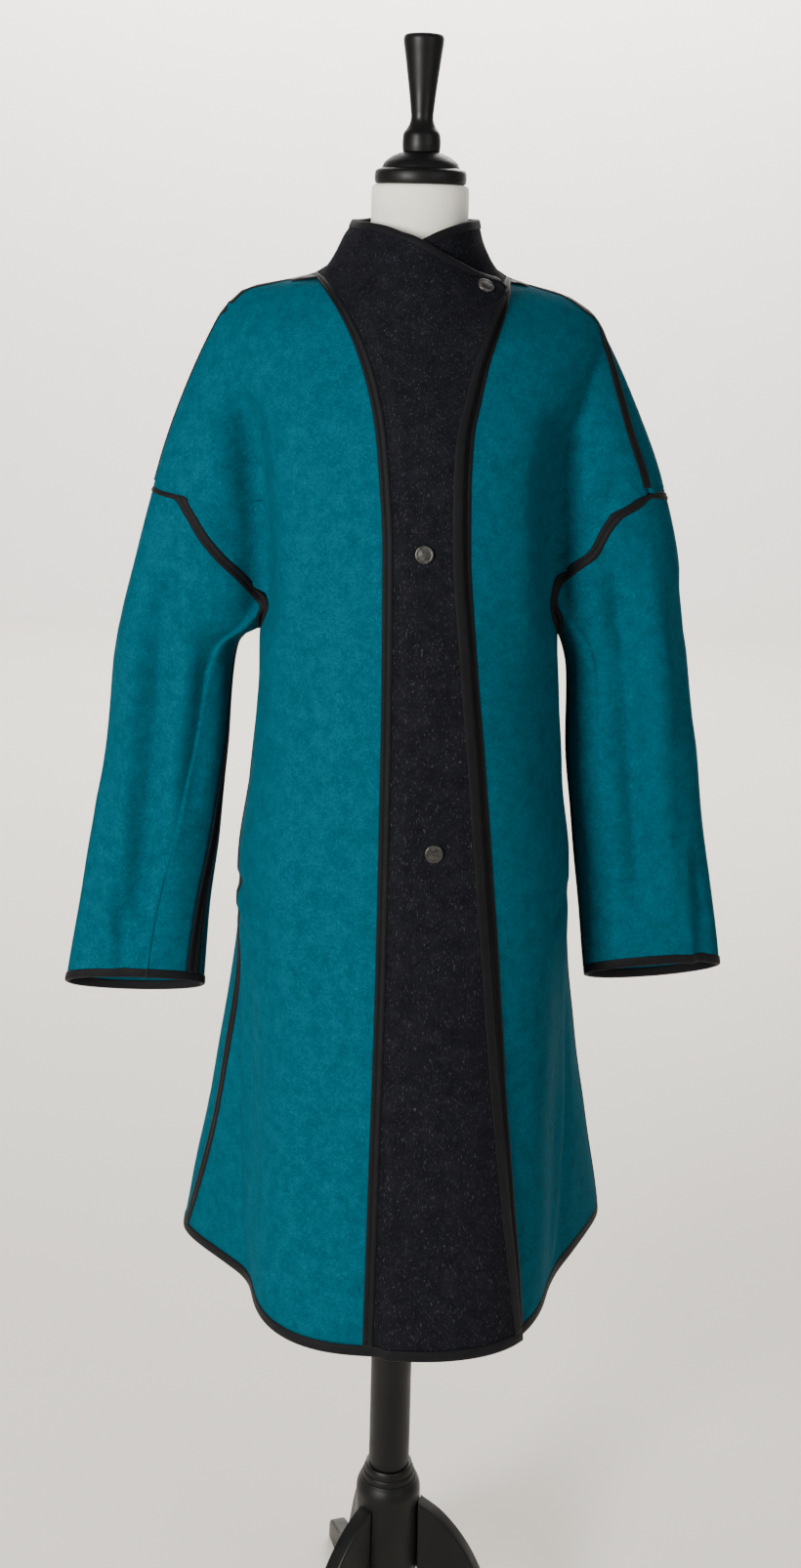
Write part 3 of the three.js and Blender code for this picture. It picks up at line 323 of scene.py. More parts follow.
# ---- Folds -------------------------------------------------------------------------------------
# Soft troughs (below 0) and ridges: their half-width and height in mm, and their line as x and z, from
# one end to the other. Each fades out towards its ends.
FRONT_FOLDS = (
    # sleeves, seen from the front
    (17, -13.0, ((-252, 1295), (-250, 1222), (-257, 1118), (-264, 1012), (-272, 906), (-281, 800))),
    (12, 6.0, ((-281, 1240), (-285, 1118), (-292, 1012), (-300, 906), (-306, 800))),
    (10, 3.0, ((-322, 1010), (-314, 920), (-307, 850), (-301, 780))),
    (9, -5.0, ((-304, 985), (-299, 880), (-291, 785))),
    (13, 3.0, ((-222, 1215), (-228, 1120), (-240, 1000), (-250, 900))),
    (12, -5.0, ((-203, 1150), (-212, 1060), (-226, 960))),
    (15, -12.0, ((200, 1275), (210, 1220), (221, 1130), (229, 1055), (240, 950), (252, 850))),
    (14, 4.6, ((240, 1285), (256, 1150), (268, 1000), (281, 850))),
    (8, -6.0, ((304, 950), (311, 880), (320, 795))),
    (9, 2.2, ((292, 960), (299, 880), (307, 800))),
    (12, -5.0, ((276, 1240), (284, 1150), (293, 1040))),
    # from the shoulders to the armpits
    (19, -11.0, ((-178, 1430), (-169, 1385), (-158, 1296), (-150, 1215), (-146, 1160))),
    (24, 4.4, ((-134, 1440), (-124, 1340), (-118, 1260), (-128, 1180), (-142, 1100))),
    (14, 2.4, ((-212, 1400), (-204, 1340), (-190, 1280))),
    (18, -10.0, ((156, 1420), (149, 1385), (144, 1306), (144, 1227), (150, 1160))),
    (20, 3.0, ((116, 1430), (108, 1330), (112, 1240), (128, 1150))),
    (14, -3.4, ((-214, 1330), (-196, 1290), (-170, 1245))),
    (13, -3.6, ((212, 1335), (192, 1300), (166, 1262))),
    # hips and skirt, front
    (7, 4.2, ((-172, 905), (-166, 840), (-158, 701), (-152, 604), (-146, 487))),
    (9, -4.0, ((-176, 880), (-172, 785), (-168, 660), (-164, 554), (-160, 470))),
    (26, 4.0, ((-110, 1010), (-112, 800), (-120, 600), (-122, 480))),
    (24, -4.2, ((-68, 1010), (-72, 780), (-84, 560), (-86, 470))),
    (7, 4.2, ((176, 905), (170, 838), (171, 696), (168, 597), (161, 487))),
    (10, -5.0, ((180, 880), (180, 778), (182, 672), (180, 564), (176, 470))),
    (20, 3.6, ((140, 960), (142, 780), (148, 600), (146, 480))),
    (8, -4.6, ((-176, 905), (-166, 888), (-148, 876), (-132, 874))),
    (8, -2.4, ((-174, 868), (-162, 850), (-148, 842))),
    (8, 1.8, ((-172, 890), (-160, 868), (-146, 860))),
    (9, -4.6, ((176, 900), (162, 884), (146, 876))),
    (12, -1.8, ((112, 1060), (136, 1040), (156, 1000))),
)
BACK_FOLDS = (
    (22, -6.0, ((-184, 1430), (-172, 1350), (-160, 1270), (-150, 1190))),
    (22, -6.0, ((176, 1430), (166, 1350), (158, 1270), (150, 1190))),
    (28, 4.6, ((-66, 1240), (-76, 1000), (-92, 700), (-102, 480))),
    (26, -4.8, ((-20, 1200), (-26, 900), (-34, 600), (-38, 480))),
    (26, 4.4, ((34, 1230), (40, 950), (50, 650), (56, 480))),
    (26, -5.2, ((90, 1160), (96, 880), (112, 600), (118, 480))),
    (22, -5.0, ((-128, 1100), (-134, 850), (-146, 600), (-150, 480))),
    (30, -3.6, ((-76, 1446), (-30, 1420), (30, 1418), (76, 1446))),
    (26, -2.6, ((-110, 1330), (-40, 1300), (50, 1302), (112, 1335))),
    (14, -4.6, ((-258, 1230), (-268, 1100), (-290, 880))),
    (12, 3.4, ((-225, 1180), (-240, 1060), (-262, 880))),
    (14, -4.6, ((246, 1230), (258, 1090), (280, 880))),
    (12, 3.4, ((214, 1180), (228, 1060), (246, 880))),
    (9, -3.0, ((-318, 960), (-312, 880), (-300, 790))),
    (9, -3.0, ((300, 960), (306, 880), (312, 800))),
)
FOLD_ENDS = 0.18  # the share of a fold's length over which it fades at each end
FACE_REACH, FACE_RUN = 14, 36  # how far past the side a face's folds go, in mm, and over how far they fade
# The cloth's own slow unevenness: height, waves round and up, offset, waves up and round.
WAVES = ((0.9, 5, 83, 0, 61, 2), (0.5, 11, -47, 1.3, 29, 3))


def fold(flat, width, height, line):
    """One fold's height at points seen flat, as x and z."""
    line = np.array(line, float)
    lengths = np.concatenate([[0], np.cumsum(np.linalg.norm(np.diff(line, axis=0), axis=1))])
    best = np.full(len(flat), np.inf)
    where = np.zeros(len(flat))
    for start, end, length in zip(line, line[1:], lengths):
        d = end - start
        t = np.clip(((flat - start) @ d) / (d @ d), 0, 1)
        gap = np.linalg.norm(flat - start - t[:, None] * d, axis=1)
        nearer = gap < best
        best = np.where(nearer, gap, best)
        where = np.where(nearer, (length + t * np.linalg.norm(d)) / lengths[-1], where)
    fade = smooth(where / FOLD_ENDS) * smooth((1 - where) / FOLD_ENDS)
    return height * np.exp(-((best / width) ** 2)) * fade


def folds(p):
    """How far the cloth stands off its smooth form at points p."""
    x, y, z = p.reshape(-1, 3).T
    total = np.zeros(len(x))
    for shapes, sign in ((FRONT_FOLDS, -1), (BACK_FOLDS, 1)):
        facing = smooth((FACE_REACH + sign * y) / FACE_RUN)
        for shape in shapes:
            total += fold(np.stack([x, z], -1), *shape) * facing
    turn = np.arctan2(x, -y)
    for height, k, rise, offset, other_rise, n in WAVES:
        total += height * np.sin(k * turn + z / rise + offset) * np.sin(z / other_rise + n * turn)
    return total.reshape(p.shape[:-1])


def draped(p, n):
    return p + n * folds(p)[..., None]


# ---- Grids ---------------------------------------------------------------------------------------
STEP = 6.0  # between rows
PATH = np.linspace(0, 1, 121)


def spline(points, f):
    """A smooth curve through points, at fractional indices f."""
    points = np.asarray(points, float)
    n = len(points)
    i = np.clip(np.floor(f).astype(int), 0, n - 2)
    t = (f - i)[:, None]
    back = points[np.maximum(i - 1, 0)]
    ahead = points[np.minimum(i + 2, n - 1)]
    p, q = points[i], points[i + 1]
    m, k = (q - back) / 2, (ahead - p) / 2
    return (
        p * (2 * t**3 - 3 * t**2 + 1)
        + m * (t**3 - 2 * t**2 + t)
        + q * (3 * t**2 - 2 * t**3)
        + k * (t**3 - t**2)
    )


def chord_spline(points, lengths, f):
    """A smooth curve through points that lie unevenly, lengths apart, at fractional indices f."""
    points = np.asarray(points, float)
    speed = np.diff(points, axis=0) / lengths[:, None]
    i = np.clip(np.floor(f).astype(int), 0, len(points) - 2)
    return monotone(points, speed, i, (f - i)[:, None], lengths[i][:, None])


def fractions(lengths, step=STEP):
    """Fractional indices that split each interval into steps of about the same size."""
    out = []
    for i, length in enumerate(lengths):
        n = max(1, int(round(length / step)))
        out += [i + k / n for k in range(n)]
    return np.array(out + [len(lengths)], float)


def along(path, distances):
    """Points of a path at distances from its start; it goes on straight past its ends."""
    lengths = np.concatenate([[0], np.cumsum(np.linalg.norm(np.diff(path, axis=0), axis=1))])
    return np.stack([np.interp(distances, lengths, path[:, k]) for k in range(3)], -1)


def length_of(path):
    return np.linalg.norm(np.diff(path, axis=0), axis=1).sum()


def grid_normals(grid, centre):
    """Unit directions out of a grid of points; centre gives the point each one faces away from."""
    n = np.cross(np.gradient(grid, axis=0), np.gradient(grid, axis=1))
    if (n * (grid - centre(grid))).sum() < 0:
        n = -n
    for _ in range(3):
        m = n.copy()
        m[1:] += n[:-1]
        m[:-1] += n[1:]
        m[:, 1:] += n[:, :-1]
        m[:, :-1] += n[:, 1:]
        n = m
    return unit(n)


def from_axis(grid):
    return grid * np.array([0, 0, 1.0])


# The rows of the panels: overarm, sleeve seam and side, at fractional indices shared by all sides.
OVERARM_F = fractions(np.abs(np.diff([*OVERARM_ROWS, 1316])))
SLEEVE_F = fractions([30, 24, 30, 28, 25, 25, 22, 18, 28])
SIDE_F = fractions(np.abs(np.diff([UNDERARM_Z, *SIDE_ROWS, HEM_Z + EDGE_BINDING])))


def outer_rows(side, face):
    """Turn and height of every row's end on the outer seams, and its place in the coarse rows."""
    column = 0 if side == "left" else 1
    top_turn, top_z = TOPS[side]
    zs = spline(np.array([*OVERARM_ROWS, top_z + BINDING])[:, None], OVERARM_F)[:, 0]
    overarm = np.stack([read(OVERARM, zs)[:, column], zs], -1)
    seam = SLEEVE_SEAMS[side][face]
    pit_turn = 270.0 if side == "left" else 90.0
    turns = (turn_at(seam[:, 0], seam[:, 1], face == "back") + 360) % 360
    keys = np.array([(top_turn, top_z), *zip(turns, seam[:, 1])])
    near = SLEEVE_F <= len(seam)
    lengths = np.linalg.norm(np.diff(shell(keys[:, 0], keys[:, 1]), axis=0), axis=1)
    sleeve = chord_spline(keys, lengths, SLEEVE_F[near])
    # Beside the underarm the arm's outline ends, so the seam is followed in space there.
    ends = np.vstack([shell(keys[-2:, 0], keys[-2:, 1]), shell([pit_turn], [UNDERARM_Z])])
    stops = spline(ends, SLEEVE_F[~near] - len(seam) + 1)
    stops[:-1, 2] = np.maximum(stops[:-1, 2], UNDERARM_Z + 0.5)
    last = (turn_at(stops[:, 0], stops[:, 2], stops[:, 1] > 0) + 360) % 360
    last[-1] = pit_turn
    sleeve = np.vstack([sleeve, np.stack([last, stops[:, 2]], -1)])
    zs = spline(np.array([UNDERARM_Z, *SIDE_ROWS, HEM_Z + EDGE_BINDING])[:, None], SIDE_F)[1:, 0]
    flank = np.stack([read(SIDE_SEAM, zs)[:, column], zs], -1)
    place = np.concatenate([OVERARM_F, 9 + SLEEVE_F, 18 + SIDE_F[1:]])
    # Away from the sleeve the rows spread evenly again.
    level = np.concatenate([overarm[:, 1], np.linspace(top_z, UNDERARM_Z, len(SLEEVE_F)), flank[:, 1]])
    return {"place": place, "level": level, "all": np.vstack([overarm, sleeve, flank])}


def run_at(z):
    """Heights at the band seam and at centre back of the row that starts at height z."""
    rows = read(ROW_RUN, np.minimum(z, ROW_RUN[0, 0]))
    under = (z < UNDERARM_Z)[:, None]
    return np.where(under, np.stack([z, z], -1), rows)


def trim_for(slope):
    """The trim that leaves a binding's half-width square to a seam met at a slope."""
    return np.minimum(BINDING / np.sqrt(np.maximum(1 - slope**2, LEAST_SLANT)), MOST_TRIM)


def trims(points, inner):
    """How far a row's end stays from a seam that it meets at a slant."""
    tangent = unit(np.gradient(points, axis=0))
    direction = unit(points - inner)
    return trim_for((direction * tangent).sum(-1))


UNDER_BINDING = 1.2  # a panel goes on under its binding to this far from the seam
UNDER_CUFF = 4.0  # and a sleeve to this far from its finished edge


def spread_rows(paths, count, head, tail):
    """Even columns between the trimmed ends of each path, and one more under each binding."""
    rows = []
    for path, a, b in zip(paths, head, tail):
        total = length_of(path)
        inside = np.linspace(a, total - b, count)
        distances = np.concatenate([[min(UNDER_BINDING, a)], inside, [total - min(UNDER_BINDING, b)]])
        rows.append(along(path, distances))
    return np.array(rows)


def front_panel(side, columns=70):
    """A front with its half of the shoulder, from the band seam to the outer seams."""
    rows = outer_rows(side, "front")
    turn, z = rows["all"].T
    turn = turn - 360 if side == "left" else turn
    band_z = run_at(rows["level"])[:, 0]
    seam_x = read(FRONT_LINES, band_z)[:, 0 if side == "left" else 2]
    head = np.stack([turn_at(seam_x, band_z), band_z], -1)
    t = PATH[None, :]
    turns = head[:, :1] + (turn - head[:, 0])[:, None] * t
    heights = head[:, 1:] + (z - head[:, 1])[:, None] * t
    paths = shell(turns, heights)
    tail = trims(paths[:, -1], paths[:, -5])
    grid = spread_rows(paths, columns, np.full(len(tail), BINDING), tail)
    return {"rows": rows, "heads": head, "head": paths[:, 0], "tail": paths[:, -1], "grid": grid}


def back_panel(columns=60):
    """The back, from the one side's outer seams to the other's."""
    left, right = outer_rows("left", "back"), outer_rows("right", "back")
    middle = (run_at(left["level"])[:, 1] + run_at(right["level"])[:, 1]) / 2
    halves = []
    for rows in (left, right):
        turn, z = rows["all"].T
        t = PATH[None, :]
        heights = z[:, None] + (middle - z)[:, None] * np.sin(t * math.pi / 2)
        halves.append(shell(turn[:, None] + (180 - turn)[:, None] * t, heights))
    grids = []
    for paths in halves:
        tail = trims(paths[:, 0], paths[:, 4])
        rows = []
        for path, b in zip(paths, tail):
            total = length_of(path)
            distances = np.concatenate([[min(UNDER_BINDING, b)], np.linspace(b, total, columns)])
            rows.append(along(path, distances))
        grids.append(np.array(rows))
    grid = np.concatenate([grids[0], grids[1][:, -2::-1]], axis=1)
    tail = {"left": halves[0][:, 0], "right": halves[1][:, 0]}
    return {"left": left, "right": right, "grid": grid, "tail": tail}


def neckline(turn):
    """The height of the neck seam, from the shoulder to centre back."""
    return NECK_Z + (BACK_NECK_Z - NECK_Z) * np.sqrt(np.abs(np.cos(turn * RADIANS)))


NECK_F = fractions([9.5] * 9 + [14, 22, 20])
COLLAR_PLACE = 4  # a band's rows before this place end on the collar's top line
LEVEL_PLACE = 10  # and from this place on they run level


def band_panel(side, front, columns=44):
    """A band with its half of the collar, from centre back round the neck and down the front."""
    upper = side == "left"
    base = 360.0 if upper else 0.0
    surface = lifted if upper else shell
    back_turn = 270.0 if upper else 90.0
    k = np.arange(BACK_HALF + 1)
    t = k / (BACK_HALF + 0.6)
    turn = 180 + (back_turn - 180) * t
    starts = list(zip(turn, neckline(turn)))
    ends = list(zip(turn, BACK_COLLAR_Z + (SIDE_COLLAR_Z[side] - BACK_COLLAR_Z) * smooth(t)))
    corner = front["heads"][0] + (base, 0)
    starts.append((back_turn, NECK_Z))
    starts.append((back_turn + (corner[0] - back_turn) * 0.45, NECK_Z + (corner[1] - NECK_Z) * 0.3))
    starts.append(tuple(corner))
    top = OVERLAP_TOP if upper else UNDERLAP_TOP
    ends += list(zip(turn_at(top[:, 0], top[:, 1]) + base, top[:, 1]))
    neck_starts = spline(starts, NECK_F)
    neck_ends = spline(ends[: len(starts) + 1], NECK_F)
    # Down the front each row starts at the front's own row.
    place = front["rows"]["place"].copy()
    place[len(OVERARM_F)] += 0.12
    heads = front["heads"] + (base, 0)
    low_z = np.array([*top[2:, 1], *BAND_EDGE_ROWS])
    low_z = np.array([*low_z, *np.interp(np.arange(len(low_z), int(place[-1]) + 1), place, heads[:, 1])])
    z = spline(low_z[:, None], np.clip(place, 0, len(low_z) - 1))[:, 0]
    z = np.where(place >= LEVEL_PLACE, heads[:, 1], z)
    x_edge = read(FRONT_LINES, z)[:, 1] if upper else underlap_edge(z)
    x_top = spline(top, np.clip(place + 2, 0, len(top) - 1))
    x = np.where(place < COLLAR_PLACE, x_top[:, 0], x_edge)
    z = np.where(place < COLLAR_PLACE, x_top[:, 1], z)
    front_ends = np.stack([turn_at(x, z) + base, z], -1)
    starts = np.vstack([neck_starts[:-1], heads])
    ends = np.vstack([neck_ends[:-1], front_ends])
    t = PATH[None, :]
    turns = starts[:, :1] + (ends[:, 0] - starts[:, 0])[:, None] * t
    heights = starts[:, 1:] + (ends[:, 1] - starts[:, 1])[:, None] * t
    paths = surface(turns, heights)
    size = len(paths)
    grid = spread_rows(paths, columns, np.full(size, BINDING), np.full(size, EDGE_BINDING))
    return {"grid": grid, "head": paths[:, 0], "tail": paths[:, -1], "neck": len(neck_starts) - 1,
            "starts": starts}


def tube(side, angle, z):
    """A sleeve's own form: 0 degrees its outer side, 180 its inner side."""
    arm = read(ARMS[side], z)
    middle, half = (arm[:, 0] + arm[:, 1]) / 2, (arm[:, 0] - arm[:, 1]) / 2
    x = middle + half * np.cos(angle * RADIANS)
    return np.stack([SIGN[side] * x, arm[:, 2] * np.sin(angle * RADIANS), z], -1)


def sleeve_loop(side, front, back):
    """The sleeve seam from the front of the underarm over the arm to its back."""
    size = len(SLEEVE_F)
    start = len(OVERARM_F)
    pit = np.array([SIGN[side] * read(BODY, UNDERARM_Z)[0, 0 if side == "left" else 1], 0, UNDERARM_Z])
    half = {"front": front["tail"][start : start + size], "back": back["tail"][side][start : start + size]}
    seams, edges = [], []
    for face in ("front", "back"):
        points = half[face][1:-1].copy()
        if face == "front":
            edge = front["grid"][start + 1 : start + size - 1, -2]
        else:
            grid = back["grid"] if side == "left" else back["grid"][:, ::-1]
            edge = grid[start + 1 : start + size - 1, 1]
        first = half[face][0] + unit(points[1] - half[face][0]) * BINDING
        final = pit + unit(points[-2] - pit) * BINDING
        keep = np.linalg.norm(points - half[face][0], axis=1) > BINDING + SEAM_ROOM
        keep &= np.linalg.norm(points - pit, axis=1) > BINDING + SEAM_ROOM
        points, edge = points[keep], edge[keep]
        points = np.vstack([first, points, final])
        edge = np.vstack([edge[:1], edge, edge[-1:]])
        order = slice(None, None, -1) if face == "front" else slice(None)
        seams.append(points[order])
        edges.append(edge[order])
    return np.vstack(seams), np.vstack(edges)


OFFSET_RUN = 50.0  # mm over which a sleeve settles from its seam to its own form


def sleeve_panel(side, seam, rows=86):
    """A sleeve from its seam to the cuff, and the points of its finished edge."""
    columns, ends = [], []
    tangent = unit(np.gradient(seam, axis=0))
    count = len(seam)
    for j, start in enumerate(seam):
        arm = read(ARMS[side], start[2])[0]
        middle, half = (arm[0] + arm[1]) / 2, (arm[0] - arm[1]) / 2
        first = math.atan2(start[1] / arm[2], (abs(start[0]) - middle) / half) / RADIANS
        beside = 1 if j == 0 else -1 if j == count - 1 else 0

        def angle(z):
            if beside == 0:
                return np.full(len(z), first)
            return -180.0 * beside + beside * BINDING / read(ARMS[side], z)[:, 2] / RADIANS

        offset = start - tube(side, angle(start[2:]), start[2:])[0]
        cuff = np.array([CUFF_Z])
        foot = tube(side, angle(cuff) + TWIST[side], cuff)[0]
        end = CUFF[side](abs(foot[0]), foot[1])
        z = start[2] + (end - start[2]) * PATH
        path = tube(side, angle(z) + TWIST[side] * smooth(PATH), z)
        path = path + offset * np.exp((z - start[2]) / OFFSET_RUN)[:, None]
        direction = unit(path[0] - path[4])
        total = length_of(path)
        inside = np.linspace(trim_for(direction @ tangent[j]), total - EDGE_BINDING, rows)
        columns.append(along(path, np.concatenate([[UNDER_BINDING], inside, [total - UNDER_CUFF]])))
        ends.append(path[-1])
    return np.array(columns).transpose(1, 0, 2), np.array(ends)


def sleeve_centre(side):
    def centre(grid):
        arm = read(ARMS[side], grid[..., 2].ravel())
        x = SIGN[side] * (arm[:, 0] + arm[:, 1]) / 2
        middle = grid * np.array([0, 0, 1.0])
        middle[..., 0] = x.reshape(grid.shape[:-1])
        return middle

    return centre


# ---- Meshes --------------------------------------------------------------------------------------
def make(name, points, faces, material, nodes, sharp=None):
    """One piece of the model, in metres, riding on the body, standing for its solids."""
    mesh = bpy.data.meshes.new(name)
    mesh.from_pydata(((np.asarray(points) / 1000) + AXIS).tolist(), [], [list(map(int, f)) for f in faces])
    mesh.validate()
    mesh.update()
    for polygon in mesh.polygons:
        polygon.use_smooth = True
    mesh.materials.append(material)
    if sharp is not None:
        mesh.set_sharp_from_angle(angle=sharp * RADIANS)
    piece = bpy.data.objects.new(name, mesh)
    bpy.context.scene.collection.objects.link(piece)
    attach(piece, "root")
    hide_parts(*nodes)
    return piece


def block(layers, closed_rows=False, closed_columns=False):
    """Points and faces of a closed body between an outer and an inner grid."""
    rows, columns = layers[0].shape[:2]
    points = np.concatenate([layers[0].reshape(-1, 3), layers[1].reshape(-1, 3)])
    size = rows * columns
    i = np.arange(rows if closed_rows else rows - 1)
    j = np.arange(columns if closed_columns else columns - 1)
    ii, jj = np.meshgrid(i, j, indexing="ij")
    at = lambda a, b, layer: (a % rows) * columns + (b % columns) + layer * size
    corners = (at(ii, jj, 0), at(ii + 1, jj, 0), at(ii + 1, jj + 1, 0), at(ii, jj + 1, 0))
    quads = np.stack(corners, -1).reshape(-1, 4)
    faces = [quads, quads[:, ::-1] + size]
    if not closed_columns:
        for b, flip in ((0, False), (columns - 1, True)):
            rim = np.stack([at(i, b, 0), at(i, b, 1), at(i + 1, b, 1), at(i + 1, b, 0)], -1)
            faces.append(rim[:, ::-1] if flip else rim)
    if not closed_rows:
        for a, flip in ((0, True), (rows - 1, False)):
            rim = np.stack([at(a, j, 0), at(a, j, 1), at(a, j + 1, 1), at(a, j + 1, 0)], -1)
            faces.append(rim[:, ::-1] if flip else rim)
    faces = np.concatenate(faces)
    # Faces point outwards when the volume they hold is positive.
    a, b, c, d = (points[faces[:, k]] for k in range(4))
    volume = (np.cross(a, b) * c).sum() + (np.cross(a, c) * d).sum()
    return points, faces if volume > 0 else faces[:, ::-1]


def cloth(name, grid, centre, material):
    """A draped panel, one cloth thick."""
    outer = draped(grid, grid_normals(grid, centre))
    normals = grid_normals(outer, centre)
    points, faces = block((outer, outer - normals * CLOTH))
    return make(name, points, faces, material, [name.removeprefix("coat_")])


# Height of a seam binding over the cloth at places across it, from one edge (-1) to the other (1).
SEAM_PROFILE = table(
    (-1.06, -0.5), (-1.0, 0.55), (-0.86, 1.05), (-0.6, 1.3), (-0.3, 1.15), (-0.08, 0.45), (0.08, 0.45),
    (0.3, 1.15), (0.6, 1.3), (0.86, 1.05), (1.0, 0.55), (1.06, -0.5),
)
# Height of an edge binding from its inner edge (0) to the finished edge (1).
EDGE_PROFILE = table(
    (-0.03, -0.5), (0.0, 0.6), (0.08, 1.05), (0.3, 1.25), (0.6, 1.3), (0.85, 1.15), (0.95, 0.5),
    (1.0, -0.6),
)


def binding(name, places, normals, profile, closed):
    """A binding from the points and directions at each place across it."""
    place, n = np.stack(places, 1), np.stack(normals, 1)
    rise = profile[:, 1][None, :, None]
    points, faces = block((place + n * rise, place - n * (CLOTH + rise)), closed_rows=closed)
    return make(name, points, faces, BINDING_KNIT, [name.removeprefix("coat_")])


def based(courses, centre):
    """Three courses of a binding's base, draped, and the directions out of them."""
    base = np.stack(courses, 1)
    normals = grid_normals(base, centre)
    return draped(base, normals).transpose(1, 0, 2), normals.transpose(1, 0, 2)


def seam_binding(name, a, p, b, centre, closed=False):
    """A binding over a seam: the cloths' edges a and b, and the seam p between them."""
    base, normals = based((a, p, b), centre)
    places, outs = [], []
    for u in SEAM_PROFILE[:, 0]:
        far = 0 if u < 0 else 2
        places.append(base[1] + (base[far] - base[1]) * abs(u))
        outs.append(unit(normals[1] + (normals[far] - normals[1]) * abs(u)))
    return binding(name, places, outs, SEAM_PROFILE, closed)


def edge_binding(name, a, p, centre, closed=False):
    """A binding folded over an edge: the cloth's place a and the finished edge p."""
    base, normals = based((a, (a + p) / 2, p), centre)
    across = EDGE_PROFILE[:, 0]
    places = [base[0] + (base[2] - base[0]) * u for u in across]
    outs = [unit(normals[0] + (normals[2] - normals[0]) * u) for u in across]
    return binding(name, places, outs, EDGE_PROFILE, closed)


def ring_faces(count, sides, flip=False):
    """Faces of a turned body: its rings of points, then its first and its last middle point."""
    k = np.arange(sides)
    ahead = (k + 1) % sides
    faces = []
    for here in range(0, (count - 1) * sides, sides):
        faces += np.stack([here + k, here + ahead, here + sides + ahead, here + sides + k], -1).tolist()
    end, middle = (count - 1) * sides, count * sides
    faces += [[middle, b, a] for a, b in zip(k, ahead)]
    faces += [[middle + 1, end + a, end + b] for a, b in zip(k, ahead)]
    return [[f[0], *f[:0:-1]] for f in faces] if flip else faces


def lathe(name, profile, material, nodes, sides=96, origin=None, facing=None, sharp=40):
    """A turned piece from radius and height pairs in mm."""
    profile = np.array(profile, float)
    angle = np.arange(sides) * 2 * math.pi / sides
    rings = profile[1:-1]
    x = rings[:, :1] * np.cos(angle)
    y = rings[:, :1] * np.sin(angle)
    z = np.repeat(rings[:, 1:], sides, axis=1)
    points = np.stack([x, y, z], -1).reshape(-1, 3)
    points = np.vstack([points, [0, 0, profile[0, 1]], [0, 0, profile[-1, 1]]])
    if facing is not None:
        turn = Vector((0, 0, 1)).rotation_difference(Vector(facing)).to_matrix()
        points = points @ np.array(turn).T + origin
    return make(name, points, ring_faces(len(rings), sides), material, nodes, sharp=sharp)


# ---- Materials -----------------------------------------------------------------------------------
class Nodes:
    """A short way to write a node material."""

    def __init__(self, name):
        self.material = bpy.data.materials.new(name)
        self.material.use_nodes = True
        self.tree = self.material.node_tree
        self.shader = self.tree.nodes["Principled BSDF"]
        self.place = self.add("ShaderNodeTexCoord").outputs["Object"]

    def add(self, kind, **inputs):
        node = self.tree.nodes.new(kind)
        for key, value in inputs.items():
            if key in node.inputs:
                self.put(node.inputs[key], value)
            else:
                setattr(node, key, value)
        return node

    def put(self, socket, value):
        if isinstance(value, bpy.types.NodeSocket):
            self.tree.links.new(value, socket)
        else:
            socket.default_value = value

    def noise(self, scale, detail=3.0, roughness=0.55, stretch=None):
        place = self.place
        if stretch:
            mapping = self.add("ShaderNodeMapping")
            self.put(mapping.inputs["Vector"], place)
            self.put(mapping.inputs["Scale"], stretch)
            place = mapping.outputs["Vector"]
        node = self.add("ShaderNodeTexNoise", Scale=scale, Detail=detail, Roughness=roughness)
        self.put(node.inputs["Vector"], place)
        return node.outputs["Fac"]

    def ramp(self, value, *stops):
        node = self.add("ShaderNodeValToRGB")
        self.put(node.inputs["Fac"], value)
        ramp = node.color_ramp
        while len(ramp.elements) < len(stops):
            ramp.elements.new(0.5)
        for element, (place, colour) in zip(ramp.elements, stops):
            element.position = place
            element.color = (*colour, 1) if len(colour) == 3 else colour
        return node.outputs["Color"]

    def mix(self, factor, a, b, blend="MIX"):
        node = self.add("ShaderNodeMix", data_type="RGBA", blend_type=blend)
        self.put(node.inputs[0], factor)
        for socket, value in ((node.inputs[6], a), (node.inputs[7], b)):
            self.put(socket, (*value, 1) if isinstance(value, tuple) and len(value) == 3 else value)
        return node.outputs[2]

    def sum(self, *terms):
        """A weighted sum of values."""
        total = None
        for value, weight in terms:
            node = self.add("ShaderNodeMath", operation="MULTIPLY")
            self.put(node.inputs[0], value)
            self.put(node.inputs[1], weight)
            if total is not None:
                joined = self.add("ShaderNodeMath", operation="ADD")
                self.put(joined.inputs[0], total)
                self.put(joined.inputs[1], node.outputs[0])
                node = joined
            total = node.outputs[0]
        return total

    def bump(self, height, strength, distance):
        node = self.add("ShaderNodeBump", Strength=strength, Distance=distance)
        self.put(node.inputs["Height"], height)
        self.put(self.shader.inputs["Normal"], node.outputs["Normal"])

    def set(self, **values):
        for key, value in values.items():
            socket = self.shader.inputs[key.replace("_", " ")]
            if isinstance(value, tuple) and len(value) == 3:
                value = (*value, 1)
            self.put(socket, value)
        return self.material


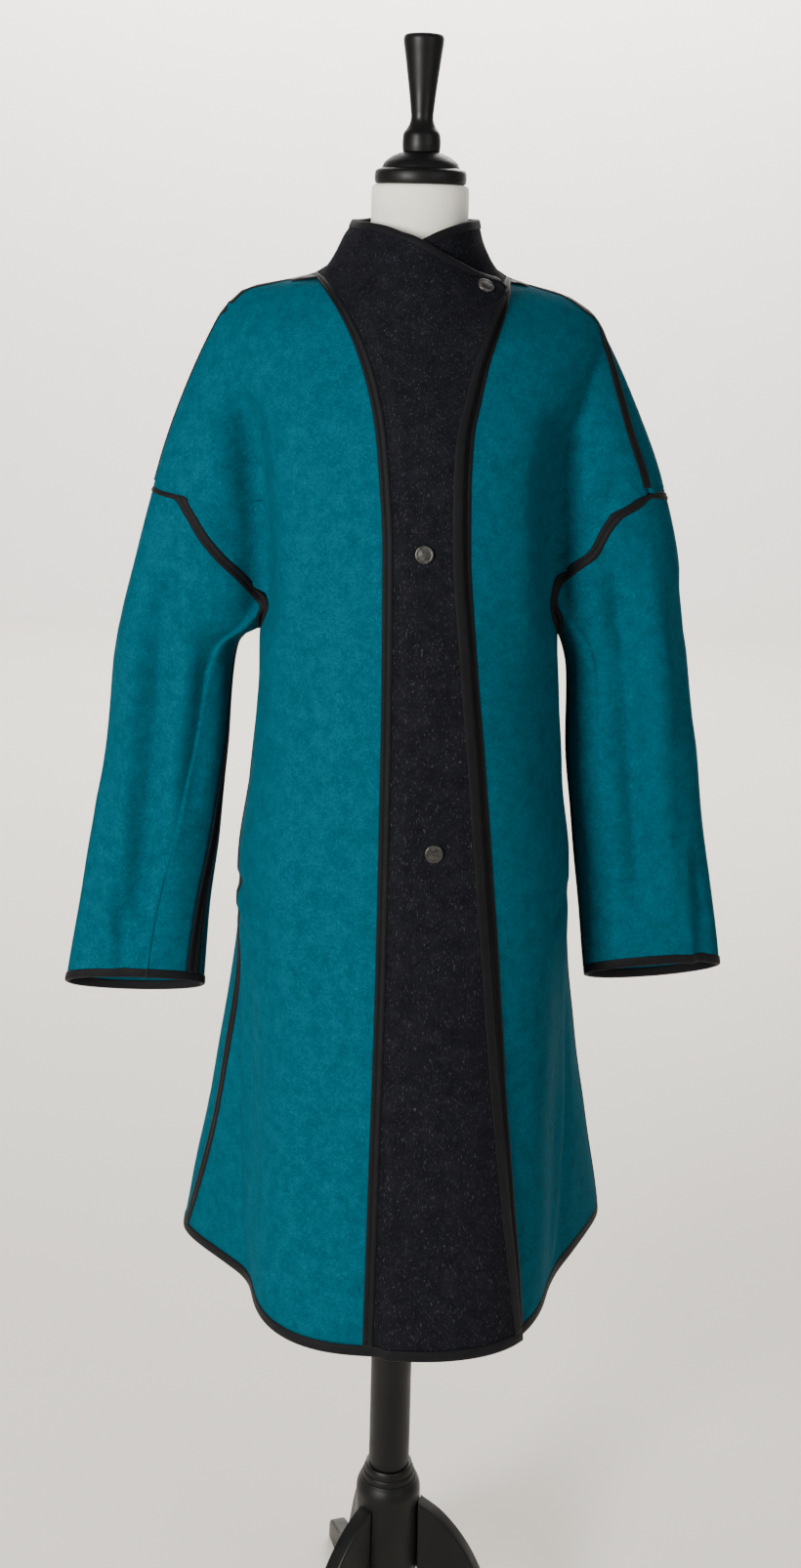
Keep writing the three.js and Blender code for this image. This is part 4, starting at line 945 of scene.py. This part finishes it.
def wool(name, dark, mid, light, fleck, fleck_share, sheen):
    """Felted wool: a mottled ground, short fibres lying all ways, and lighter flecks."""
    m = Nodes(name)
    ground = m.ramp(m.noise(70, 6, 0.68), (0.3, dark), (0.52, mid), (0.76, light))
    clumps = m.ramp(m.noise(260, 4, 0.7), (0.32, (0.7,) * 3), (0.66, (1.0,) * 3))
    colour = m.mix(0.55, ground, clumps, "MULTIPLY")
    curls = m.ramp(m.noise(640, 4, 0.72), (0.36, (0.36,) * 3), (0.5, (0.74,) * 3), (0.64, (1.0,) * 3))
    colour = m.mix(0.66, colour, curls, "MULTIPLY")
    hairs = m.noise(900, 3, 0.6, (1, 1, 0.28))
    hair_mask = m.ramp(hairs, (0.6, (0,) * 3), (0.7, (1,) * 3))
    colour = m.mix(m.sum((hair_mask, fleck_share)), colour, fleck)
    cross = m.noise(1300, 2, 0.5, (0.35, 0.35, 1))
    m.bump(m.sum((m.noise(420, 4, 0.65), 0.7), (hairs, 0.45), (cross, 0.35)), 0.6, 0.0012)
    rough = m.ramp(m.noise(60, 2), (0.3, (0.88,) * 3), (0.7, (0.98,) * 3))
    return m.set(Base_Color=colour, Roughness=rough, Sheen_Weight=sheen, Sheen_Roughness=0.5,
                 Sheen_Tint=fleck, Specular_IOR_Level=0.05)


def knit(name):
    """Ribbed knit binding: fine ribs and a soft lustre."""
    m = Nodes(name)
    ribs = m.noise(1500, 2, 0.5)
    ground = m.ramp(m.noise(90, 3), (0.3, (0.001, 0.0011, 0.0018)), (0.7, (0.0024, 0.0027, 0.0042)))
    colour = m.mix(0.35, ground, m.ramp(ribs, (0.35, (0.3,) * 3), (0.65, (1.0,) * 3)), "MULTIPLY")
    m.bump(m.sum((ribs, 0.6), (m.noise(500, 3), 0.5)), 0.5, 0.0007)
    return m.set(Base_Color=colour, Roughness=0.7, Sheen_Weight=0.03, Sheen_Roughness=0.5,
                 Specular_IOR_Level=0.16)


def aged_metal(name):
    """Tarnished metal with fine scratches."""
    m = Nodes(name)
    dull, worn, bright = (0.03, 0.03, 0.027), (0.085, 0.083, 0.076), (0.15, 0.146, 0.134)
    tarnish = m.ramp(m.noise(260, 5, 0.65), (0.3, dull), (0.6, worn), (0.8, bright))
    scratches = m.noise(2200, 2, 0.5, (0.2, 1, 1))
    rough = m.ramp(m.noise(400, 4), (0.3, (0.26,) * 3), (0.7, (0.5,) * 3))
    m.bump(m.sum((scratches, 0.4), (m.noise(900, 3), 0.4)), 0.15, 0.0004)
    return m.set(Base_Color=tarnish, Roughness=rough, Metallic=0.92)


def cover_cloth(name):
    """Plain woven cover of the form."""
    m = Nodes(name)
    warp = m.noise(1500, 2, 0.5, (1, 1, 0.06))
    weft = m.noise(1500, 2, 0.5, (0.06, 0.06, 1))
    ground = m.ramp(m.noise(14, 4), (0.3, (0.84, 0.79, 0.66)), (0.7, (0.9, 0.865, 0.755)))
    colour = m.mix(0.2, ground, m.ramp(warp, (0.3, (0.62,) * 3), (0.7, (1.0,) * 3)), "MULTIPLY")
    m.bump(m.sum((warp, 0.5), (weft, 0.5)), 0.35, 0.0005)
    return m.set(Base_Color=colour, Roughness=0.88, Sheen_Weight=0.15, Specular_IOR_Level=0.25)


def satin_paint(name):
    """Black satin paint over turned wood: faint grain, handling marks and worn places."""
    m = Nodes(name)
    grain = m.noise(120, 4, 0.6, (1, 1, 0.06))
    colour = m.ramp(m.noise(35, 4), (0.35, (0.0022, 0.0022, 0.0022)), (0.7, (0.0046, 0.0044, 0.004)))
    rough = m.ramp(m.noise(22, 5, 0.6), (0.3, (0.34,) * 3), (0.7, (0.52,) * 3))
    m.bump(m.sum((grain, 0.5), (m.noise(650, 2), 0.15)), 0.12, 0.0006)
    return m.set(Base_Color=colour, Roughness=rough, Specular_IOR_Level=0.2)


TEAL = wool("teal_wool", (0, 0.064, 0.093), (0, 0.082, 0.119), (0, 0.099, 0.141), (0, 0.22, 0.29), 0.24, 0.04)
CHARCOAL = wool("charcoal_wool", (0.0052, 0.0055, 0.0075), (0.008, 0.0084, 0.0114), (0.0122, 0.0126, 0.0166),
                (0.125, 0.125, 0.145), 0.3, 0.03)
BINDING_KNIT = knit("binding_knit")
SNAP_METAL = aged_metal("snap_metal")
COVER = cover_cloth("form_cover")
BLACK = satin_paint("black_paint")


back = back_panel()
back_piece = cloth("coat_back", back["grid"], from_axis, TEAL)
halves, bands = {}, {}
for side in ("left", "right"):
    name = WEARER[side]
    front = front_panel(side)
    front_piece = cloth(f"coat_front_{name}", front["grid"], from_axis, TEAL)
    back_edge = back["grid"][:, 1 if side == "left" else -2]
    front_edge, seam = front["grid"][:, -2], front["tail"]
    top, flank = slice(len(OVERARM_F)), slice(len(OVERARM_F) + len(SLEEVE_F), None)
    outer = [
        seam_binding(f"coat_binding_{part}_{name}", front_edge[rows], seam[rows], back_edge[rows], from_axis)
        for part, rows in (("overarm", top), ("side", flank))
    ]

    loop, edges = sleeve_loop(side, front, back)
    sleeve, ends = sleeve_panel(side, loop)
    centre = sleeve_centre(side)
    sleeve_piece = cloth(f"coat_sleeve_{name}", sleeve, centre, TEAL)
    armhole = seam_binding(f"coat_binding_sleeve_{name}", edges, loop, sleeve[1], centre, closed=True)
    inner_a, inner_b = sleeve[1:-1, 0], sleeve[1:-1, -1]
    under = seam_binding(f"coat_binding_underarm_{name}", inner_a, (inner_a + inner_b) / 2, inner_b, centre)
    cuff_rows = (np.vstack([row, (row[0] + row[-1]) / 2]) for row in (sleeve[-2], ends))
    cuff = edge_binding(f"coat_binding_cuff_{name}", *cuff_rows, centre, closed=True)

    band = band_panel(side, front)
    grid, neck = band["grid"], band["neck"]
    band_piece = cloth(f"coat_band_{name}", grid, from_axis, CHARCOAL)
    # The band seam: below the neck it lies on the shell, and down the front beside the front's rows.
    down = shell(band["starts"][:neck, 0], band["starts"][:neck, 1] - BINDING)
    panel_edge = np.vstack([down, front["grid"][:, 1]])
    band_seam = seam_binding(f"coat_binding_band_{name}", panel_edge, band["head"], grid[:, 1], from_axis)
    band_edge = edge_binding(f"coat_binding_edge_{name}", grid[:, -2], band["tail"], from_axis)
    bands[side] = (band_piece, band_seam, band_edge)
    halves[side] = (front, band)


def hem_half(side):
    """Points of the last row, from the band's free edge to the side seam."""
    front, band = halves[side]
    across_band = (band["tail"][-1], band["grid"][-1, 1:-1][::-1], band["head"][-1])
    return np.vstack([*across_band, front["grid"][-1, 1:-1], front["tail"][-1]])


HEM_OUT = 1.1  # how far the hem's finished edge stands out from the last row
last_row = np.vstack([hem_half("left"), back["grid"][-1, 1:-1], hem_half("right")[::-1]])
lower = last_row + unit(last_row * np.array([1, 1, 0])) * HEM_OUT
lower[:, 2] = HEM_Z
hem = edge_binding("coat_binding_hem", last_row, lower, from_axis)

# ---- Snaps -----------------------------------------------------------------------------------------
SNAPS = (("snap_collar", 64, 1521.0), ("snap_chest", 11, 1270.0), ("snap_hip", 27, 980.0))
SNAP_PROFILE = (
    (0, -0.6), (8.2, -0.6), (8.9, 0.0), (9.0, 0.7), (8.8, 1.3), (8.3, 1.75), (7.7, 1.85), (7.2, 1.7),
    (6.6, 1.6), (5.0, 1.85), (3.0, 2.1), (1.4, 2.2), (0, 2.22),
)
SNAP_BASE = 0.9  # from the cloth's face to the profile's zero
SNAP_TURN, SNAP_REACH = 4, 7.0  # degrees and mm over which the band's direction is taken


def on_band(x, z, turn=0):
    """The upper band's point at x and z, turned on by some degrees."""
    return lifted(turn_at(np.array([x]), np.array([z])) + turn, np.array([z]))[0]


for name, x, z in SNAPS:
    across = on_band(x, z, SNAP_TURN) - on_band(x, z, -SNAP_TURN)
    out = unit(np.cross(across, on_band(x, z + SNAP_REACH) - on_band(x, z - SNAP_REACH)))
    p = on_band(x, z)
    p = p + out * (folds(p[None])[0] + SNAP_BASE)
    cap = lathe(f"coat_{name}", SNAP_PROFILE, SNAP_METAL, [name], sides=64, origin=p, facing=out)

# ---- Dress form and stand ------------------------------------------------------------------------
FORM = table(
    (1625.5, 46, 46, 46, 46, 2),
    (1624, 49, 49, 49, 49, 2),
    (1620, 50, 50, 50, 50, 2),
    (1572, 50, 50, 50, 50, 2),
    (1553, 54, 53, 54, 53, 2),
    (1540, 68, 63, 66, 60, 1.7),
    (1527, 104, 91, 84, 70, 1.35),
    (1517, 153, 131, 88, 78, 1.25),
    (1510, 174, 151, 90, 82, 1.25),
    (1490, 191, 177, 96, 91, 1.4),
    (1465, 192, 180, 101, 98, 1.65),
    (1430, 180, 172, 108, 104, 1.95),
    (1390, 162, 158, 116, 106, 2.1),
    (1320, 146, 146, 122, 104, 2.1),
    (1240, 132, 132, 112, 94, 2.1),
    (1160, 122, 122, 100, 88, 2.1),
    (1080, 132, 132, 104, 100, 2.1),
    (990, 148, 148, 112, 114, 2.1),
    (910, 150, 150, 112, 114, 2.1),
    (878, 146, 146, 108, 110, 2.1),
    (870, 136, 136, 98, 100, 2.1),
)
FORM_SIDES = 128
# Finer rows at the neck and the shoulders, from the top down.
zs = np.concatenate([np.linspace(1625.5, 1560, 30), np.linspace(1558, 1440, 50), np.linspace(1436, 870, 110)])
angle = np.arange(FORM_SIDES) * 2 * math.pi / FORM_SIDES
section = read(FORM, zs)
sine, cosine = np.sin(angle)[None, :], np.cos(angle)[None, :]
power = 2 / section[:, 4:5]
x = np.sign(sine) * np.abs(sine) ** power * np.where(sine < 0, section[:, 0:1], section[:, 1:2])
y = -np.sign(cosine) * np.abs(cosine) ** power * np.where(cosine > 0, section[:, 2:3], section[:, 3:4])
points = np.stack([x, y, np.repeat(zs[:, None], FORM_SIDES, 1)], -1).reshape(-1, 3)
points = np.vstack([points, [0, 0, zs[0]], [0, 0, zs[-1]]])
faces = ring_faces(len(zs), FORM_SIDES, flip=True)
make("dress_form_body", points, faces, COVER, ["form_body"], sharp=50)

CAP = (
    (0, 1625.9), (44, 1625.9), (46.2, 1626.6), (47, 1628.4), (47.3, 1633), (47, 1637.6), (46.2, 1639.6),
    (44, 1641), (41, 1641.8), (40, 1642.4), (39.4, 1644.2), (38, 1647.4), (35.5, 1650), (32, 1652.6),
    (29, 1654.6), (25, 1656.4), (22, 1658), (0, 1658),
)
lathe("dress_form_cap", CAP, BLACK, ["form_cap"])
FINIAL_KEYS = np.array(
    ((18.9, 1659), (19.6, 1665), (19.4, 1672), (18.4, 1678), (14.5, 1684), (12, 1690), (11.5, 1696),
    (12.2, 1703),
     (14, 1720), (16.3, 1738), (18.7, 1756), (20.6, 1770), (20.3, 1775), (18.4, 1777.4), (14, 1778.2)))
FINIAL_ROWS = 90
finial_rows = spline(FINIAL_KEYS, np.linspace(0, len(FINIAL_KEYS) - 1, FINIAL_ROWS))
FINIAL = [(0, 1658.3), (18.2, 1658.3), *finial_rows, (0, 1778.5)]
lathe("dress_form_finial", FINIAL, BLACK, ["form_finial"], sharp=60)
HUB = (
    (0, 118), (32, 118), (33.6, 118.8), (34.6, 120), (35, 122), (35, 206), (34.8, 209), (34.2, 212),
    (33, 215.4), (31.2, 218.6), (30.2, 220.2), (29.9, 221.6), (29.2, 222.4), (28.6, 222.6), (28.4, 223.6),
    (28.2, 225.6), (27.6, 227.6), (27, 228.4), (26.5, 228.6), (26.3, 229.6), (26, 231.8), (25.2, 234.6),
    (24.2, 236), (0, 236),
)
lathe("stand_hub_piece", HUB, BLACK, ["stand_hub"])
POLE = ((0, 236.4), (22, 236.4), (22, 400), (22, 600), (22, 869.6), (0, 869.6))
lathe("stand_pole_piece", POLE, BLACK, ["stand_pole"])

LEG_OUTER = ((35.3, 197), (58, 184), (78, 165), (94, 143), (107, 117), (118, 89), (130, 66), (147, 47),
             (168, 35),
             (192, 28), (203, 23), (207, 15), (207, 0))
LEG_INNER = ((168, 0), (143, 7), (115, 26), (90, 52), (70, 82), (52, 105), (35.3, 122))
LEG_WIDTH = 18.0
LEG_TURN = -13.0
LEG_BEVEL = 2.2
LEG_BEVEL_STEPS = 5


def leg(index):
    """A flat board cut to a curve, with rounded edges."""
    outer = spline(LEG_OUTER[:-1], np.linspace(0, len(LEG_OUTER) - 2, 60))
    inner = spline(LEG_INNER, np.linspace(0, len(LEG_INNER) - 1, 46))
    outline = np.vstack([outer, LEG_OUTER[-1], inner])
    forward = np.roll(outline, -1, axis=0) - outline
    backward = outline - np.roll(outline, 1, axis=0)
    tangent = unit(unit(forward) + unit(backward))
    inward = np.stack([tangent[:, 1], -tangent[:, 0]], -1)
    arc = np.linspace(0, math.pi / 2, LEG_BEVEL_STEPS)
    profile = [(LEG_BEVEL * (1 - math.sin(t)), LEG_BEVEL * (1 - math.cos(t)) - LEG_WIDTH / 2) for t in arc]
    profile += [(inset, -w) for inset, w in reversed(profile)]
    count = len(outline)
    points = []
    for inset, w in profile:
        ring = outline + inward * inset
        points += [(r, w, z) for r, z in ring]
    points = np.array(points)
    a = (LEG_TURN + 120 * index) * RADIANS
    turned = np.stack([points[:, 0] * math.cos(a) - points[:, 1] * math.sin(a),
                       points[:, 0] * math.sin(a) + points[:, 1] * math.cos(a), points[:, 2]], -1)
    faces = []
    for i in range(len(profile) - 1):
        for j in range(count):
            n = (j + 1) % count
            faces.append([i * count + j, i * count + n, (i + 1) * count + n, (i + 1) * count + j])
    faces.append(list(range(count - 1, -1, -1)))
    faces.append([(len(profile) - 1) * count + j for j in range(count)])
    return make(f"stand_leg_{index + 1}", turned, faces, BLACK, [f"leg_{index + 1}"], sharp=45)


for index in range(3):
    leg(index)

# ---- Camera, floor, wall and light -----------------------------------------------------------------
FOCAL_LENGTH, PHOTO_HEIGHT = 1900, 1606  # in the photo's pixels
CAMERA_PITCH, CAMERA_YAW = 90 - 5.5, 1.38  # degrees
CAMERA_LEFT, CAMERA_AWAY, CAMERA_HEIGHT = 0.015, 1.915, 1.580  # from the form's axis, in metres
scene = bpy.context.scene
camera = bpy.data.objects.new("camera", bpy.data.cameras.new("camera"))
scene.collection.objects.link(camera)
scene.camera = camera
camera.data.sensor_width = 36
camera.data.lens = FOCAL_LENGTH / PHOTO_HEIGHT * camera.data.sensor_width
camera.data.shift_y = -0.24
camera.location = (AXIS[0] - CAMERA_LEFT, AXIS[1] - CAMERA_AWAY, CAMERA_HEIGHT)
camera.rotation_mode = "QUATERNION"
look = Matrix.Rotation(CAMERA_PITCH * RADIANS, 3, "X") @ Matrix.Rotation(CAMERA_YAW * RADIANS, 3, "Z")
camera.rotation_quaternion = look.to_quaternion()
camera.data.clip_start = 0.05
camera.data.clip_end = 100


def stage_plane(name, corners, colour, scale):
    mesh = bpy.data.meshes.new(name)
    mesh.from_pydata(corners, [], [(0, 1, 2, 3)])
    m = Nodes(name)
    ground = m.ramp(m.noise(scale, 4), (0.3, tuple(c * 0.97 for c in colour)), (0.7, colour))
    mesh.materials.append(m.set(Base_Color=ground, Roughness=0.9))
    plane = bpy.data.objects.new(name, mesh)
    scene.collection.objects.link(plane)
    return plane


WALL_Y = 5.4
STAGE_HALF, WALL_HEIGHT = 6, 5
near_left, near_right = (-STAGE_HALF, -STAGE_HALF, 0), (STAGE_HALF, -STAGE_HALF, 0)
far_left, far_right = (-STAGE_HALF, WALL_Y, 0), (STAGE_HALF, WALL_Y, 0)
top_right, top_left = (STAGE_HALF, WALL_Y, WALL_HEIGHT), (-STAGE_HALF, WALL_Y, WALL_HEIGHT)
stage_plane("stage_floor", [near_left, near_right, far_right, far_left], (0.66, 0.62, 0.56), 2)
stage_plane("stage_wall", [far_left, far_right, top_right, top_left], (0.97, 0.955, 0.92), 5)


def area_light(name, place, target, size, power, colour=(1, 1, 1)):
    light = bpy.data.lights.new(name, "AREA")
    light.shape = "RECTANGLE"
    light.size, light.size_y = size
    light.energy = power
    light.color = colour
    lamp = bpy.data.objects.new(name, light)
    lamp.location = place
    lamp.rotation_mode = "QUATERNION"
    lamp.rotation_quaternion = (Vector(target) - Vector(place)).to_track_quat("-Z", "Y")
    scene.collection.objects.link(lamp)


area_light("key", (-1.65, -2.4, 1.75), (0, 0, 1.0), (0.8, 0.8), 148, (1, 0.985, 0.96))
area_light("fill", (1.9, -2.2, 1.9), (0, 0, 1.0), (1.6, 1.6), 24, (0.96, 0.98, 1))
area_light("back", (0.6, 2.6, 3.2), (0, 0, 1.0), (2.0, 1.0), 70, (1, 0.985, 0.96))
area_light("wall", (0, 3.6, 4.4), (0, WALL_Y, 1.4), (6, 0.6), 620, (1, 0.985, 0.95))
world = bpy.data.worlds.new("studio") if scene.world is None else scene.world
scene.world = world
world.use_nodes = True
world.node_tree.nodes["Background"].inputs["Color"].default_value = (0.95, 0.96, 1, 1)
world.node_tree.nodes["Background"].inputs["Strength"].default_value = 0.32
